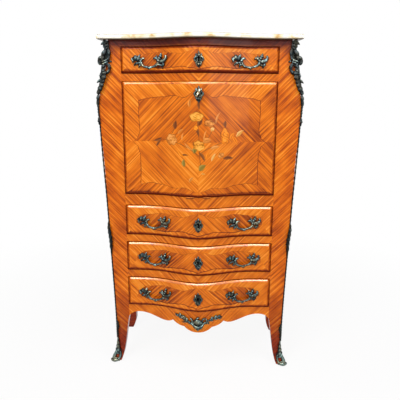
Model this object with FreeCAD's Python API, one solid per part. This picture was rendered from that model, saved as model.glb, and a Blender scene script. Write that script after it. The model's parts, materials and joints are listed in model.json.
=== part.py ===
import FreeCAD, Part
import math
import os

# A fall-front writing desk. Millimetres, +Z up, +X to the right, +Y towards the wall.
# While it is modelled, y = 0 is the front face of the corner posts. Each piece is moved
# back by frame_shift when it is written, so that the origin is on the floor, under the
# middle of the whole desk.

V = FreeCAD.Vector

# Plan
opening_half = 278.5        # half the width between the corner posts
bulge = 52.0                # how far the front swells at the middle
shoulder = 0.26             # how far it draws in beside the middle, as a share of the bulge
back_y = 300.0              # the wall face
post_depth = 45.0
rear_post_depth = 40.0
rail_back = 32.0            # back face of the rails and the apron
lining_thickness = 10.0
back_thickness = 10.0
panel_thickness = 16.0
panel_inset = 3.0           # side panels lie behind the posts' outer edge

# Heights, from the floor up
leg_height = 249.0
lower_drawer_height = 120.0
lower_rail_height = 28.0
middle_drawer_height = 117.0
upper_rail_height = 27.0
upper_drawer_height = 118.0
under_fall_height = 41.0
fall_height = 411.0
over_fall_height = 26.0
top_drawer_height = 92.0
top_rail_height = 21.0
marble_thickness = 17.0

lower_drawer_z = leg_height
lower_rail_z = lower_drawer_z + lower_drawer_height
middle_drawer_z = lower_rail_z + lower_rail_height
upper_rail_z = middle_drawer_z + middle_drawer_height
upper_drawer_z = upper_rail_z + upper_rail_height
under_fall_z = upper_drawer_z + upper_drawer_height
fall_z = under_fall_z + under_fall_height
over_fall_z = fall_z + fall_height
top_drawer_z = over_fall_z + over_fall_height
top_rail_z = top_drawer_z + top_drawer_height
carcass_top = top_rail_z + top_rail_height

# Fronts and their clearances
front_proud = 9.0           # drawer fronts and fall stand in front of the rails
front_gap = 1.2             # all round each front
edge_round = 9.0
front_back_y = 16.0         # flat back of a drawer front
fall_back_y = 12.0          # flat writing side of the fall
slide_gap = 0.8             # between a drawer and what it runs on

# Drawer boxes
guide_width = 25.7          # a drawer guide, from the lining to the box beside it
box_half = opening_half - guide_width - slide_gap
board_thickness = 10.0
bottom_thickness = 7.0
box_rear_gap = 14.0
box_top_gap = 14.0
guide_height = 14.0

# Marble
marble_overhang = 21.0      # in front of the posts
marble_side_overhang = 35.0
marble_waist = 13.0         # the sides draw in between their corners
marble_round = 5.0

# Locks, bolts, key
lock_half = 30.0
lock_height = 46.0
fall_lock_height = 64.0
fall_plate_drop = 44.0      # middle of the fall's keyhole plate below the rail
lock_thickness = 12.0
lock_lip = 3.0              # wood left above a lock
bolt_half = 10.0
bolt_thickness = 5.0
bolt_length = 26.0
bolt_throw = 8.0
bolt_gap = 0.6
keyhole_radius = 3.6
keyhole_slot = 4.4
keyhole_drop = 13.0
plate_thickness = 4.0
key_radius = 3.0
key_reach = 42.0            # from the fall's face to the end of the bow
key_bow_radius = 13.0
key_bow_bore = 7.0
key_bow_thickness = 5.0
key_bit_drop = 11.0
key_bit_thickness = 3.0
key_bit_gap = 1.0

# Fall hinges and stays
hinge_lead = 2.0            # the pin stands this far in front of the rail's middle
hinge_x = 30.0
hinge_half = 14.0
hinge_leaf = 26.0
hinge_leaf_thickness = 1.4
knuckle_radius = 2.6
knuckle_gap = 0.4
pin_radius = 1.2
pin_gap = 0.3
stay_radius = 200.0
stay_width = 12.0
stay_thickness = 3.0
stay_inset = 16.5           # from the inner lining to the stay
stay_gap = 1.0
stay_tail_angle = 20.0      # the stay's tail below the hinge level, closed
stay_guide_size = 30.0
stay_guide_angle = 45.0

# Fitted interior
case_side_gap = 28.5        # channel for a stay beside the case
case_front_y = 118.0        # far enough in for a small drawer to open behind the closed fall
case_floor_lift = 58.0      # the floor is level with the open fall
case_head_gap = 11.0        # clear space over the case, below the rail
case_board = 9.0
case_back_gap = 5.0
small_drawer_height = 76.0
pigeonholes = 4
knob_radius = 7.0
knob_neck_radius = 3.5
knob_stand = 13.0           # centre of the knob's ball in front of its drawer
leather_thickness = 1.2
leather_border = 70.0
leather_lock_gap = 10.0     # between the leather and the lock above it

# Bronze
strip_width = 8.0
strip_proud = 4.0
mount_proud = 7.0
sabot_wall = 3.0
sabot_height = 88.0
sabot_floor = 6.0
sabot_edge = 46.0           # inner edge of the shoe's wall, beyond the opening
chute_drop = 96.0           # foot of the corner mount below the rail over the fall
chute_width = 24.0
chute_proud = 20.0
chute_top_gap = 3.0
chute_depth = 22.0          # how far it turns round onto the side
knee_half = 56.0
knee_width = 18.0
toe_out = 60.0
toe_radius = 12.0
apron_mount_half = 92.0
handle_half = 63.0
handle_post_x = 38.0
handle_stand = 27.0         # from the drawer front to the grip's outer face
handle_bar_radius = 4.5
handle_post_radius = 7.0
handle_post_lift = 4.0
handle_grip_drop = 16.0
handle_leaf_stand = 6.0
handle_leaf_height = 21.0


def box(x0, x1, y0, y1, z0, z1):
    return Part.makeBox(x1 - x0, y1 - y0, z1 - z0, V(x0, y0, z0))


def pair(shape):
    """A shape on the right, with its mirror image on the left."""
    return [shape, shape.mirror(V(0, 0, 0), V(1, 0, 0))]


def curve(points):
    spline = Part.BSplineCurve()
    spline.interpolate(points)
    return spline.toShape()


def line(start, end):
    return Part.LineSegment(start, end).toShape()


def prism(edges, direction):
    """A closed flat outline carried along a direction."""
    return Part.Face(Part.Wire(edges)).extrude(direction)


def cylinder_x(radius, x0, x1, y, z):
    return Part.makeCylinder(radius, x1 - x0, V(x0, y, z), V(1, 0, 0))


def cylinder_y(radius, y0, y1, x, z):
    return Part.makeCylinder(radius, y1 - y0, V(x, y0, z), V(0, 1, 0))


def serpentine(x):
    """The front's plan: a cosine swell, drawn in on both shoulders."""
    share = x / opening_half
    swell = math.cos(math.pi * share / 2) ** 2
    draw = shoulder * math.sin(math.pi * share) ** 2
    return -bulge * (swell - draw)


def plan_prism(half, shift, back, z0, z1):
    """The serpentine plan between two heights, with a flat back."""
    steps = 16
    xs = [half * (2.0 * i / steps - 1.0) for i in range(steps + 1)]
    front = [V(x, serpentine(x) + shift, z0) for x in xs]
    edges = [
        curve(front),
        line(front[-1], V(half, back, z0)),
        line(V(half, back, z0), V(-half, back, z0)),
        line(V(-half, back, z0), front[0]),
    ]
    return prism(edges, V(0, 0, z1 - z0))


def round_front(shape, half, shift, radius):
    """Rounds the four edges around a serpentine front face."""
    corner_y = serpentine(half) + shift
    edges = [e for e in shape.Edges if all(abs(v.Y - corner_y) < 0.01 for v in e.Vertexes)]
    return shape.makeFillet(radius, edges)


def closed_outline(points, y0, y1):
    """A smooth closed outline in the front view, given as (x, z), carried from y0 to y1."""
    spline = Part.BSplineCurve()
    spline.interpolate([V(x, y0, z) for x, z in points], PeriodicFlag=True)
    return prism([spline.toShape()], V(0, y1 - y0, 0))


# Corner posts and legs

# Width of a post beyond the opening, at levels from the carcass top to the floor.
neck_drop = 48.0
chest_drop = 66.0
post_top_width = 43.5
post_levels = [
    (carcass_top, post_top_width),
    (carcass_top - neck_drop, 45.5),
    (over_fall_z, 69.0),
    (over_fall_z - chest_drop, 82.5),
    (fall_z + 0.5 * fall_height, 79.5),
    (fall_z, 69.0),
    (upper_rail_z, 61.5),
    (leg_height, 52.0),
    (0.45 * leg_height, 50.5),
    (0.18 * leg_height, 55.5),
    (0.0, 71.0),
]
# Inner edge of a leg beyond the opening, as shares of the leg's height.
leg_inner = [(0.80, 0.0), (0.46, 13.5), (0.21, 22.5), (0.10, 29.0), (0.0, 40.0)]
# Front and back edges of a front leg in the side view, as shares of the leg's height.
leg_front = [(1.0, 0.0), (0.6, 2.0), (0.2, -2.0), (0.0, -14.0)]
leg_back = [(1.0, 0.0), (0.7, -6.0), (0.35, -14.0), (0.0, -24.0)]
rear_leg_taper = 10.0
rear_leg_inner = 24.0       # inner face of a rear leg beyond the opening
marble_half = opening_half + post_top_width + marble_side_overhang


def outer_edge(grow):
    """The post's outer edge in the front view, top to floor, as points."""
    return [V(opening_half + wide + grow, 0, z) for z, wide in post_levels]


def post_face(grow, floor):
    """The front view of the right-hand post and leg, cut off at a floor level."""
    outer = outer_edge(grow)
    inner = [V(opening_half + x - grow, 0, share * leg_height) for share, x in leg_inner]
    shoulder_point = V(opening_half - grow, 0, inner[0].z)
    inner[0] = shoulder_point
    top = V(opening_half - grow, 0, carcass_top)
    edges = [
        curve(outer),
        line(outer[-1], inner[-1]),
        curve(list(reversed(inner))),
        line(shoulder_point, top),
        line(top, outer[0]),
    ]
    deep = 2 * back_y
    tall = prism(edges, V(0, 2 * deep, 0)).translated(V(0, -deep, 0))
    wide = 2 * marble_half
    return tall.cut(box(0, wide, -deep, 2 * deep, -leg_height, floor))


def front_post(grow=0.0, floor=0.0):
    """A front post: its front view crossed with its side view."""
    front = [V(0, y - grow, share * leg_height) for share, y in leg_front]
    back = [V(0, post_depth + y + grow, share * leg_height) for share, y in leg_back]
    top_front = V(0, -grow, carcass_top)
    top_back = V(0, post_depth + grow, carcass_top)
    edges = [
        curve(front),
        line(front[-1], back[-1]),
        curve(list(reversed(back))),
        line(back[0], top_back),
        line(top_back, top_front),
        line(top_front, front[0]),
    ]
    side = prism(edges, V(2 * marble_half, 0, 0))
    return post_face(grow, floor).common(side)


def rear_post():
    """A rear post, flat against the wall, with a tapering leg."""
    front = back_y - rear_post_depth
    edges = [
        line(V(0, front, carcass_top), V(0, front, leg_height)),
        line(V(0, front, leg_height), V(0, front + rear_leg_taper, 0)),
        line(V(0, front + rear_leg_taper, 0), V(0, back_y, 0)),
        line(V(0, back_y, 0), V(0, back_y, carcass_top)),
        line(V(0, back_y, carcass_top), V(0, front, carcass_top)),
    ]
    side = prism(edges, V(2 * marble_half, 0, 0))
    leg_top = 0.8 * leg_height
    inside = box(0, lining_half, -back_y, 2 * back_y, leg_top, 2 * carcass_top)
    beside = box(0, opening_half + rear_leg_inner, -back_y, 2 * back_y, -leg_height, leg_top)
    return post_face(0.0, 0.0).common(side).cut(inside).cut(beside)


def side_panel():
    """A swelling side panel between the posts, arched along its lower edge."""
    y0 = post_depth
    y1 = back_y - rear_post_depth
    low = 0.76 * leg_height
    arch = 0.92 * leg_height
    outer = [V(p.x - panel_inset, y0, p.z) for p in outer_edge(0.0) if p.z > low]
    foot = V(outer[-1].x, y0, low)
    inner = [V(p.x - panel_thickness, y0, p.z) for p in outer + [foot]]
    edges = [
        curve(outer + [foot]),
        line(foot, inner[-1]),
        curve(list(reversed(inner))),
        line(inner[0], outer[0]),
    ]
    panel = prism(edges, V(0, y1 - y0, 0))
    start = V(0, y0, low)
    end = V(0, y1, low)
    crown = V(0, 0.5 * (y0 + y1), arch)
    under = prism([Part.Arc(start, crown, end).toShape(), line(end, start)], V(2 * marble_half, 0, 0))
    return panel.cut(under)


lining_half = opening_half + lining_thickness
lining_back = back_y - back_thickness
board_z = leg_height - board_thickness

pieces = {}

right_post = front_post(floor=sabot_floor)
pieces["front_right_post"] = right_post
pieces["front_left_post"] = right_post.mirror(V(0, 0, 0), V(1, 0, 0))
pieces["rear_posts"] = pair(rear_post())
right_panel = side_panel()
pieces["right_side_panel"] = right_panel
pieces["left_side_panel"] = right_panel.mirror(V(0, 0, 0), V(1, 0, 0))
lining = box(opening_half, lining_half, post_depth, lining_back, board_z, carcass_top)
pieces["inner_linings"] = pair(lining)
pieces["back_panel"] = box(-lining_half, lining_half, lining_back, back_y, board_z, carcass_top)
top_board_z = carcass_top - board_thickness
pieces["top_board"] = box(-opening_half, opening_half, rail_back, lining_back, top_board_z, carcass_top)


# Marble top

def marble_front(x):
    """The carcass plan carried out to pointed corners."""
    share = x / marble_half
    swell = math.cos(math.pi * share / 2) ** 2
    draw = shoulder * math.sin(math.pi * share) ** 2
    return -bulge * (swell - draw) - marble_overhang


def marble_top():
    steps = 16
    xs = [marble_half * (2.0 * i / steps - 1.0) for i in range(steps + 1)]
    front = [V(x, marble_front(x), carcass_top) for x in xs]
    waist = marble_half - marble_waist
    right = [front[-1], V(waist, 0.45 * back_y, carcass_top), V(waist, back_y, carcass_top)]
    left = [V(-p.x, p.y, p.z) for p in reversed(right)]
    edges = [curve(front), curve(right), line(right[-1], left[0]), curve(left)]
    slab = prism(edges, V(0, 0, marble_thickness))
    rounded = []
    for edge in slab.Edges:
        on_wall = all(abs(v.Y - back_y) < 0.01 for v in edge.Vertexes)
        upright = abs(edge.Vertexes[0].Z - edge.Vertexes[-1].Z) > 1.0
        if not on_wall and not upright:
            rounded.append(edge)
    return slab.makeFillet(marble_round, rounded)


pieces["marble_top"] = marble_top()


# Drawers

drawers = [
    # name, floor and height of the opening, keyhole plate and handles below its middle, handles' x
    ("top_drawer", top_drawer_z, top_drawer_height, 1.0, 11.0, 175.0),
    ("upper_drawer", upper_drawer_z, upper_drawer_height, 7.0, 8.0, 169.0),
    ("middle_drawer", middle_drawer_z, middle_drawer_height, 11.0, 9.0, 169.0),
    ("lower_drawer", lower_drawer_z, lower_drawer_height, 13.0, 9.0, 169.0),
]
front_half = opening_half - front_gap
plate_half_width = 19.0
plate_half_height = 30.0
keyhole_lift = 0.15 * plate_half_height
bolt_y = front_back_y - 0.5 * lock_thickness


def keyhole(y0, y1, z):
    """A round hole with a slot below it, along Y."""
    slot = box(-0.5 * keyhole_slot, 0.5 * keyhole_slot, y0, y1, z - keyhole_drop, z)
    return cylinder_y(keyhole_radius, y0, y1, 0, z).fuse(slot)


def bolt_space(y, z0, z1, gap):
    """A box round a bolt that is centred at y."""
    half = bolt_half + gap
    thick = 0.5 * bolt_thickness + gap
    return box(-half, half, y - thick, y + thick, z0, z1)


def keyhole_plate(z, carrier):
    """A shaped plate that follows the front it lies on, pierced by the keyhole."""
    w = plate_half_width
    h = plate_half_height
    right = [(0, h), (0.45 * w, 0.8 * h), (w, 0.35 * h)]
    right = right + [(0.72 * w, -0.15 * h), (0.8 * w, -0.5 * h), (0, -h)]
    left = [(-x, dz) for x, dz in reversed(right[1:-1])]
    outline = [(x, z + dz) for x, dz in right + left]
    reach = bulge + front_proud + 2 * plate_thickness
    shell = plan_prism(2 * w, -front_proud - plate_thickness, 0.0, z - 2 * h, z + 2 * h)
    plate = closed_outline(outline, -reach, 0.0).common(shell)
    hole = keyhole(-reach, 0.0, z + keyhole_lift)
    return plate.cut(carrier).cut(hole)


def handle(x, z, carrier):
    """A cast pull: two leaf plates, two posts and a bowed grip between them."""
    a = handle_half
    p = handle_post_x
    w = a - p
    h = handle_leaf_height
    deep = bulge
    leaf = [(-0.72 * w, 0.1 * h), (-0.32 * w, 0.8 * h), (0.24 * w, 0.95 * h), (0.84 * w, h)]
    leaf = leaf + [(w, 0.57 * h), (0.48 * w, 0.19 * h), (0.32 * w, -0.48 * h), (-0.16 * w, -0.67 * h)]
    right = closed_outline([(p + lx, lz) for lx, lz in leaf], -handle_leaf_stand, deep)
    left = closed_outline([(-p - lx, lz) for lx, lz in leaf], -handle_leaf_stand, deep)
    lift = handle_post_lift
    foot_y = -0.6 * handle_stand
    posts = [cylinder_y(handle_post_radius, foot_y, deep, side * p, lift) for side in (-1, 1)]
    start = V(-p, -0.5 * handle_stand, lift)
    middle = V(0, handle_bar_radius - handle_stand, lift - handle_grip_drop)
    end = V(p, -0.5 * handle_stand, lift)
    arc = Part.Arc(start, middle, end).toShape()
    tangent = arc.tangentAt(arc.FirstParameter)
    ring = Part.Wire([Part.Circle(start, tangent, handle_bar_radius).toShape()])
    grip = Part.Wire([arc]).makePipeShell([ring], True, False)
    whole = right.fuse([left, grip] + posts)
    rise = serpentine(x + a) - serpentine(x - a)
    whole.rotate(V(0, 0, 0), V(0, 0, 1), math.degrees(math.atan2(rise, 2 * a)))
    whole.translate(V(x, 0.5 * (serpentine(x + a) + serpentine(x - a)) - front_proud, z))
    cut = whole.cut(carrier)
    behind = box(x - 2 * a, x + 2 * a, 0.5 * front_back_y, 4 * deep, z - 2 * a, z + 2 * a)
    return cut.cut(behind).removeSplitter()


def drawer(name, floor, height, plate_drop, handle_drop, handle_x):
    """The front, box, handles, keyhole plate, lock and bolt of one drawer."""
    z0 = floor + front_gap
    z1 = floor + height - front_gap
    middle = floor + 0.5 * height
    plate_z = middle - plate_drop
    front = plan_prism(front_half, -front_proud, front_back_y, z0, z1)
    front = round_front(front, front_half, -front_proud, edge_round)
    whole_front = front
    lock_top = z1 - lock_lip
    lock_y = front_back_y - lock_thickness
    lock = box(-lock_half, lock_half, lock_y, front_back_y, lock_top - lock_height, lock_top)
    bolt_z = z1 - 0.5 * lock_lip - bolt_length
    bolt = bolt_space(bolt_y, bolt_z, bolt_z + bolt_length, 0.0)
    bolt_way = bolt_space(bolt_y, bolt_z - bolt_gap, z1 + bolt_throw, bolt_gap)
    key_way = keyhole(-bulge - 4 * front_proud, lock_y, plate_z + keyhole_lift)
    front = front.cut(lock).cut(bolt_way).cut(key_way)
    pieces[name + "_front"] = front
    pieces[name + "_lock"] = lock.cut(bolt_way)
    pieces[name + "_bolt"] = bolt
    pieces[name + "_escutcheon"] = keyhole_plate(plate_z, whole_front)
    handle_z = middle - handle_drop
    pieces[name + "_handles"] = [handle(side * handle_x, handle_z, whole_front) for side in (-1, 1)]
    b0 = floor + slide_gap
    b1 = floor + height - box_top_gap
    rear = lining_back - box_rear_gap
    inner = box_half - board_thickness
    side = box(inner, box_half, front_back_y, rear, b0, b1)
    rear_board = box(-inner, inner, rear - board_thickness, rear, b0, b1)
    bottom = box(-inner, inner, front_back_y, rear - board_thickness, b0, b0 + bottom_thickness)
    pieces[name + "_box"] = pair(side) + [rear_board, bottom]
    return bolt_space(bolt_y, z1, floor + height + bolt_throw, bolt_gap)


mortises = {name: drawer(name, *rest) for name, *rest in drawers}


# Boards and guides that carry the drawers

stay_outer_x = opening_half - stay_inset
stay_inner_x = stay_outer_x - stay_thickness
hinge_y = serpentine(0.0) - hinge_lead
hinge_z = fall_z


def dust_board(top):
    return box(-opening_half, opening_half, rail_back, lining_back, top - board_thickness, top)


def boards_and_guides():
    boards = []
    guides = []
    guide_x = opening_half - guide_width
    for name, floor, *rest in drawers:
        boards.append(dust_board(floor))
        guide = box(guide_x, opening_half, post_depth, lining_back, floor, floor + guide_height)
        guides.extend(pair(guide))
    fall_board = dust_board(fall_z)
    slot_y = hinge_y + stay_radius
    slot_half = stay_width + 0.5 * stay_radius * (1 - math.cos(math.radians(stay_tail_angle)))
    slot = box(
        stay_inner_x - 2 * stay_gap, opening_half, slot_y - 2 * slot_half, slot_y + slot_half,
        fall_z - 2 * board_thickness, fall_z + board_thickness)
    for side_slot in pair(slot):
        fall_board = fall_board.cut(side_slot)
    boards.append(fall_board)
    return boards, guides


pieces["dust_boards"], pieces["drawer_guides"] = boards_and_guides()


# Rails and apron

def rail(z0, height):
    return plan_prism(opening_half, 0.0, rail_back, z0, z0 + height)


pieces["top_rail"] = rail(top_rail_z, top_rail_height).cut(mortises["top_drawer"])
pieces["upper_rail"] = rail(upper_rail_z, upper_rail_height).cut(mortises["middle_drawer"])
pieces["lower_rail"] = rail(lower_rail_z, lower_rail_height).cut(mortises["lower_drawer"])


def apron():
    """The serpentine apron: two cusped lobes to a side and a rounded pendant in the middle."""
    a = opening_half
    h = leg_height
    foot = [(1.0, 0.8), (0.93, 0.868), (0.85, 0.883), (0.7, 0.853)]
    foot = foot + [(0.545, 0.788), (0.43, 0.77), (0.358, 0.806)]
    lobe = [foot[-1], (0.29, 0.752), (0.195, 0.729)]
    pendant = [lobe[-1], (0.1, 0.662), (0, 0.645), (-0.1, 0.662), (-0.195, 0.729)]
    right = [curve([V(x * a, 0, s * h) for x, s in points]) for points in (foot, lobe)]
    left = [curve([V(-x * a, 0, s * h) for x, s in points]) for points in (foot, lobe)]
    middle = curve([V(x * a, 0, s * h) for x, s in pendant])
    shoulder_z = foot[0][1] * h
    top = [V(a, 0, h), V(-a, 0, h)]
    sides = [line(top[0], V(a, 0, shoulder_z)), line(V(-a, 0, shoulder_z), top[1])]
    edges = right + [middle] + left + sides + [line(top[1], top[0])]
    deep = bulge + rail_back
    face = prism(Part.sortEdges(edges)[0], V(0, 2 * deep, 0)).translated(V(0, -deep, 0))
    return plan_prism(a, 0.0, rail_back, 0.5 * h, h).common(face)


pieces["apron"] = apron()


# Fall front, its hinges, stays, lock and key

fall_half = opening_half - front_gap
swing_trim = 0.2            # the swing takes off the fall's top edge from here inwards
fall_low = fall_z + front_gap
fall_high = over_fall_z - front_gap
swing_radius = fall_high - hinge_z + swing_trim
fall_inner_top = hinge_z + math.sqrt(swing_radius ** 2 - (fall_back_y - hinge_y) ** 2)
fall_lock_top = fall_inner_top - lock_lip
fall_bolt_y = fall_back_y - 0.5 * lock_thickness
fall_bolt_z = fall_lock_top + 0.4 * lock_lip - bolt_length
fall_bolt_throw = 1.5 * bolt_throw
fall_plate_z = over_fall_z - fall_plate_drop
key_z = fall_plate_z + keyhole_lift
key_end_y = serpentine(0.0) - front_proud - key_reach
lock_y = fall_back_y - lock_thickness
key_tip_y = fall_back_y - 0.25 * lock_thickness


def hinge_leaves():
    """One butt hinge: the fixed leaf with its pin, and the moving leaf."""
    low = hinge_x - hinge_half
    high = hinge_x + hinge_half
    third = 2 * hinge_half / 3.0
    inner = low + third
    outer = high - third
    clear = knuckle_radius + knuckle_gap
    leaf_end = hinge_y + hinge_leaf
    t = hinge_leaf_thickness
    fixed_top = hinge_z - 0.5 * knuckle_gap
    fixed = box(low, high, hinge_y + clear, leaf_end, fixed_top - t, fixed_top)
    for x0, x1 in ((low, inner), (outer, high)):
        fixed = fixed.fuse(box(x0, x1, hinge_y, hinge_y + clear, fixed_top - t, fixed_top))
        fixed = fixed.fuse(cylinder_x(knuckle_radius, x0, x1, hinge_y, hinge_z))
    fixed = fixed.fuse(cylinder_x(pin_radius, low, high, hinge_y, hinge_z))
    x0 = inner + knuckle_gap
    x1 = outer - knuckle_gap
    moving = box(low, high, hinge_y + clear, leaf_end, fall_low, fall_low + t)
    moving = moving.fuse(box(x0, x1, hinge_y, hinge_y + clear, fall_low, fall_low + t))
    moving = moving.fuse(cylinder_x(knuckle_radius, x0, x1, hinge_y, hinge_z))
    moving = moving.cut(cylinder_x(pin_radius + pin_gap, low, high, hinge_y, hinge_z))
    return fixed.removeSplitter(), moving.removeSplitter()


fixed_leaf, moving_leaf = hinge_leaves()
pieces["fall_fixed_hinge_leaves"] = pair(fixed_leaf)
pieces["fall_moving_hinge_leaves"] = pair(moving_leaf)


def leather_box():
    z1 = fall_lock_top - fall_lock_height - leather_lock_gap
    half = fall_half - leather_border
    return box(-half, half, fall_back_y - leather_thickness, fall_back_y, fall_low + leather_border, z1)


def fall_front():
    """The fall: serpentine outside, flat inside, its top edge cleared for the swing."""
    panel = plan_prism(fall_half, -front_proud, fall_back_y, fall_low, fall_high)
    panel = round_front(panel, fall_half, -front_proud, edge_round)
    return panel.common(cylinder_x(swing_radius, -fall_half, fall_half, hinge_y, hinge_z))


plain_fall = fall_front()
fall_lock_foot = fall_lock_top - fall_lock_height
fall_lock = box(-lock_half, lock_half, lock_y, fall_back_y, fall_lock_foot, fall_lock_top)
fall_bolt_way = bolt_space(fall_bolt_y, fall_bolt_z - bolt_gap, over_fall_z, bolt_gap)
key_way = keyhole(key_end_y, lock_y, key_z)
bit_sweep = cylinder_y(key_bit_drop + key_radius, lock_y, key_tip_y + key_bit_gap, 0, key_z)

fall_panel = plain_fall.cut(fall_lock).cut(fall_bolt_way).cut(key_way).cut(leather_box())
for moving in pieces["fall_moving_hinge_leaves"]:
    reach = moving.BoundBox
    knuckle_clear = knuckle_radius + 2 * knuckle_gap
    knuckle_space = cylinder_x(
        knuckle_clear, reach.XMin - knuckle_gap, reach.XMax + knuckle_gap, hinge_y, hinge_z)
    fall_panel = fall_panel.cut(moving).cut(knuckle_space)
pieces["fall_panel"] = fall_panel
pieces["writing_leather"] = leather_box()
pieces["fall_lock"] = fall_lock.cut(fall_bolt_way).cut(bit_sweep)
pieces["fall_bolt"] = bolt_space(fall_bolt_y, fall_bolt_z, fall_bolt_z + bolt_length, 0.0)
pieces["fall_escutcheon"] = keyhole_plate(fall_plate_z, plain_fall)


def fall_key():
    """A key with a ring bow, a straight shank and a bit that hangs down."""
    shank_start = key_end_y + key_bow_radius + 0.8 * key_bow_radius
    shank = cylinder_y(key_radius, shank_start, key_tip_y, 0, key_z)
    bow_y = key_end_y + key_bow_radius
    corner = V(-0.5 * key_bow_thickness, bow_y, key_z)
    bow = Part.makeCylinder(key_bow_radius, key_bow_thickness, corner, V(1, 0, 0))
    bow = bow.cut(Part.makeCylinder(key_bow_bore, key_bow_thickness, corner, V(1, 0, 0)))
    half = 0.5 * key_bit_thickness
    bit = box(-half, half, lock_y + key_bit_gap, key_tip_y, key_z - key_bit_drop, key_z)
    return shank.fuse([bow, bit]).removeSplitter()


pieces["fall_key"] = fall_key()


def stay():
    """A brass quadrant about the hinge pin, fixed to the inside of the fall."""
    outer = stay_radius + 0.5 * stay_width
    inner = outer - stay_width
    disc = cylinder_x(outer, stay_inner_x, stay_outer_x, hinge_y, hinge_z)
    disc = disc.cut(cylinder_x(inner, stay_inner_x, stay_outer_x, hinge_y, hinge_z))
    tail = math.radians(stay_tail_angle)
    far = 2 * outer
    corner = V(stay_inner_x, hinge_y, hinge_z)
    below = corner + V(0, far * math.cos(tail), -far * math.sin(tail))
    turn = V(stay_inner_x, hinge_y, hinge_z - 2 * far)
    cut_away = [line(corner, below), line(below, turn), line(turn, corner)]
    disc = disc.cut(prism(cut_away, V(stay_thickness, 0, 0)))
    wide = V(stay_inner_x, hinge_y - far, hinge_z - far)
    in_front = Part.makeBox(stay_thickness, far + fall_back_y - hinge_y, 2 * far, wide)
    arc = disc.cut(in_front)
    rise = math.sqrt(stay_radius ** 2 - (fall_back_y - hinge_y) ** 2)
    foot_half = 2.0 * stay_thickness
    foot = box(
        stay_inner_x - foot_half, stay_outer_x + foot_half, fall_back_y, fall_back_y + stay_thickness,
        hinge_z + rise - 1.5 * stay_width, hinge_z + rise + 1.5 * stay_width)
    return arc.fuse(foot).removeSplitter()


def stay_guide():
    """A block on the lining with a curved slot that the stay runs through."""
    turn = math.radians(stay_guide_angle)
    y = hinge_y + stay_radius * math.cos(turn)
    z = hinge_z + stay_radius * math.sin(turn)
    half = 0.5 * stay_guide_size
    block = box(stay_inner_x - 3 * stay_gap, opening_half, y - half, y + half, z - half, z + half)
    outer = stay_radius + 0.5 * stay_width + stay_gap
    inner = stay_radius - 0.5 * stay_width - stay_gap
    x0 = stay_inner_x - stay_gap
    x1 = stay_outer_x + stay_gap
    slot = cylinder_x(outer, x0, x1, hinge_y, hinge_z).cut(cylinder_x(inner, x0, x1, hinge_y, hinge_z))
    return block.cut(slot)


pieces["fall_stays"] = pair(stay())
pieces["stay_guides"] = pair(stay_guide())

bolt_mortise = bolt_space(fall_bolt_y, over_fall_z, over_fall_z + fall_bolt_throw, bolt_gap)
pieces["rail_over_fall"] = rail(over_fall_z, over_fall_height).cut(bolt_mortise)
rail_under = rail(under_fall_z, under_fall_height).cut(mortises["upper_drawer"])
for leaf in pieces["fall_fixed_hinge_leaves"]:
    rail_under = rail_under.cut(leaf)
pieces["rail_under_fall"] = rail_under


# Fitted interior

case_half = opening_half - case_side_gap
case_back_y = lining_back - case_back_gap
case_floor = fall_z + case_floor_lift
case_top = over_fall_z - case_head_gap
shelf_z = case_floor + small_drawer_height
floor_front_y = fall_back_y + 2 * front_gap


def pigeonhole_case():
    t = case_board
    inner = case_half - t
    side = box(inner, case_half, case_front_y, case_back_y, case_floor, case_top)
    boards = pair(side)
    boards.append(box(-case_half, case_half, floor_front_y, case_back_y, case_floor - t, case_floor))
    boards.append(box(-case_half, case_half, floor_front_y, floor_front_y + t, fall_z, case_floor - t))
    boards.append(box(-case_half, case_half, case_back_y - t, case_back_y, fall_z, case_floor - t))
    boards.append(box(-inner, inner, case_front_y, case_back_y, shelf_z, shelf_z + t))
    boards.append(box(-inner, inner, case_front_y, case_back_y, case_top - t, case_top))
    boards.append(box(-0.5 * t, 0.5 * t, case_front_y, case_back_y, case_floor, shelf_z))
    for i in range(1, pigeonholes):
        x = inner * (2.0 * i / pigeonholes - 1.0)
        boards.append(box(x - 0.5 * t, x + 0.5 * t, case_front_y, case_back_y, shelf_z + t, case_top - t))
    return boards


def small_drawer():
    """The right-hand small drawer and its turned knob."""
    t = 0.7 * case_board
    x0 = 0.5 * case_board + slide_gap
    x1 = case_half - case_board - slide_gap
    z0 = case_floor + slide_gap
    z1 = shelf_z - slide_gap
    y0 = case_front_y
    y1 = case_back_y - box_rear_gap
    boards = [box(x0, x1, y0, y0 + case_board, z0, z1)]
    for side_x in (x0, x1 - t):
        boards.append(box(side_x, side_x + t, y0 + case_board, y1, z0, z1 - t))
    boards.append(box(x0 + t, x1 - t, y1 - t, y1, z0, z1 - t))
    boards.append(box(x0 + t, x1 - t, y0 + case_board, y1 - t, z0, z0 + t))
    centre = V(0.5 * (x0 + x1), y0, 0.5 * (z0 + z1))
    neck = Part.makeCylinder(knob_neck_radius, knob_stand, centre, V(0, -1, 0))
    ball = Part.makeSphere(knob_radius, centre + V(0, -knob_stand, 0))
    return boards, neck.fuse(ball).removeSplitter()


pieces["pigeonhole_case"] = pigeonhole_case()
small_boards, small_knob = small_drawer()
pieces["right_small_drawer"] = small_boards
pieces["left_small_drawer"] = [b.mirror(V(0, 0, 0), V(1, 0, 0)) for b in small_boards]
pieces["right_small_drawer_knob"] = small_knob
pieces["left_small_drawer_knob"] = small_knob.mirror(V(0, 0, 0), V(1, 0, 0))


# Bronze mounts

def edge_x(z):
    """The post's outer edge at a height, read from its curve."""
    spline = Part.BSplineCurve()
    spline.interpolate(outer_edge(0.0))
    level = Part.Plane(V(0, 0, z), V(0, 0, 1))
    return spline.intersect(level)[0][0].X


def band(outer, inner, deep):
    """A strip between two front-view edges, from a little in front of the post backwards."""
    edges = [
        curve(outer),
        line(outer[-1], inner[-1]),
        curve(list(reversed(inner))),
        line(inner[0], outer[0]),
    ]
    return prism(edges, V(0, deep, 0))


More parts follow.
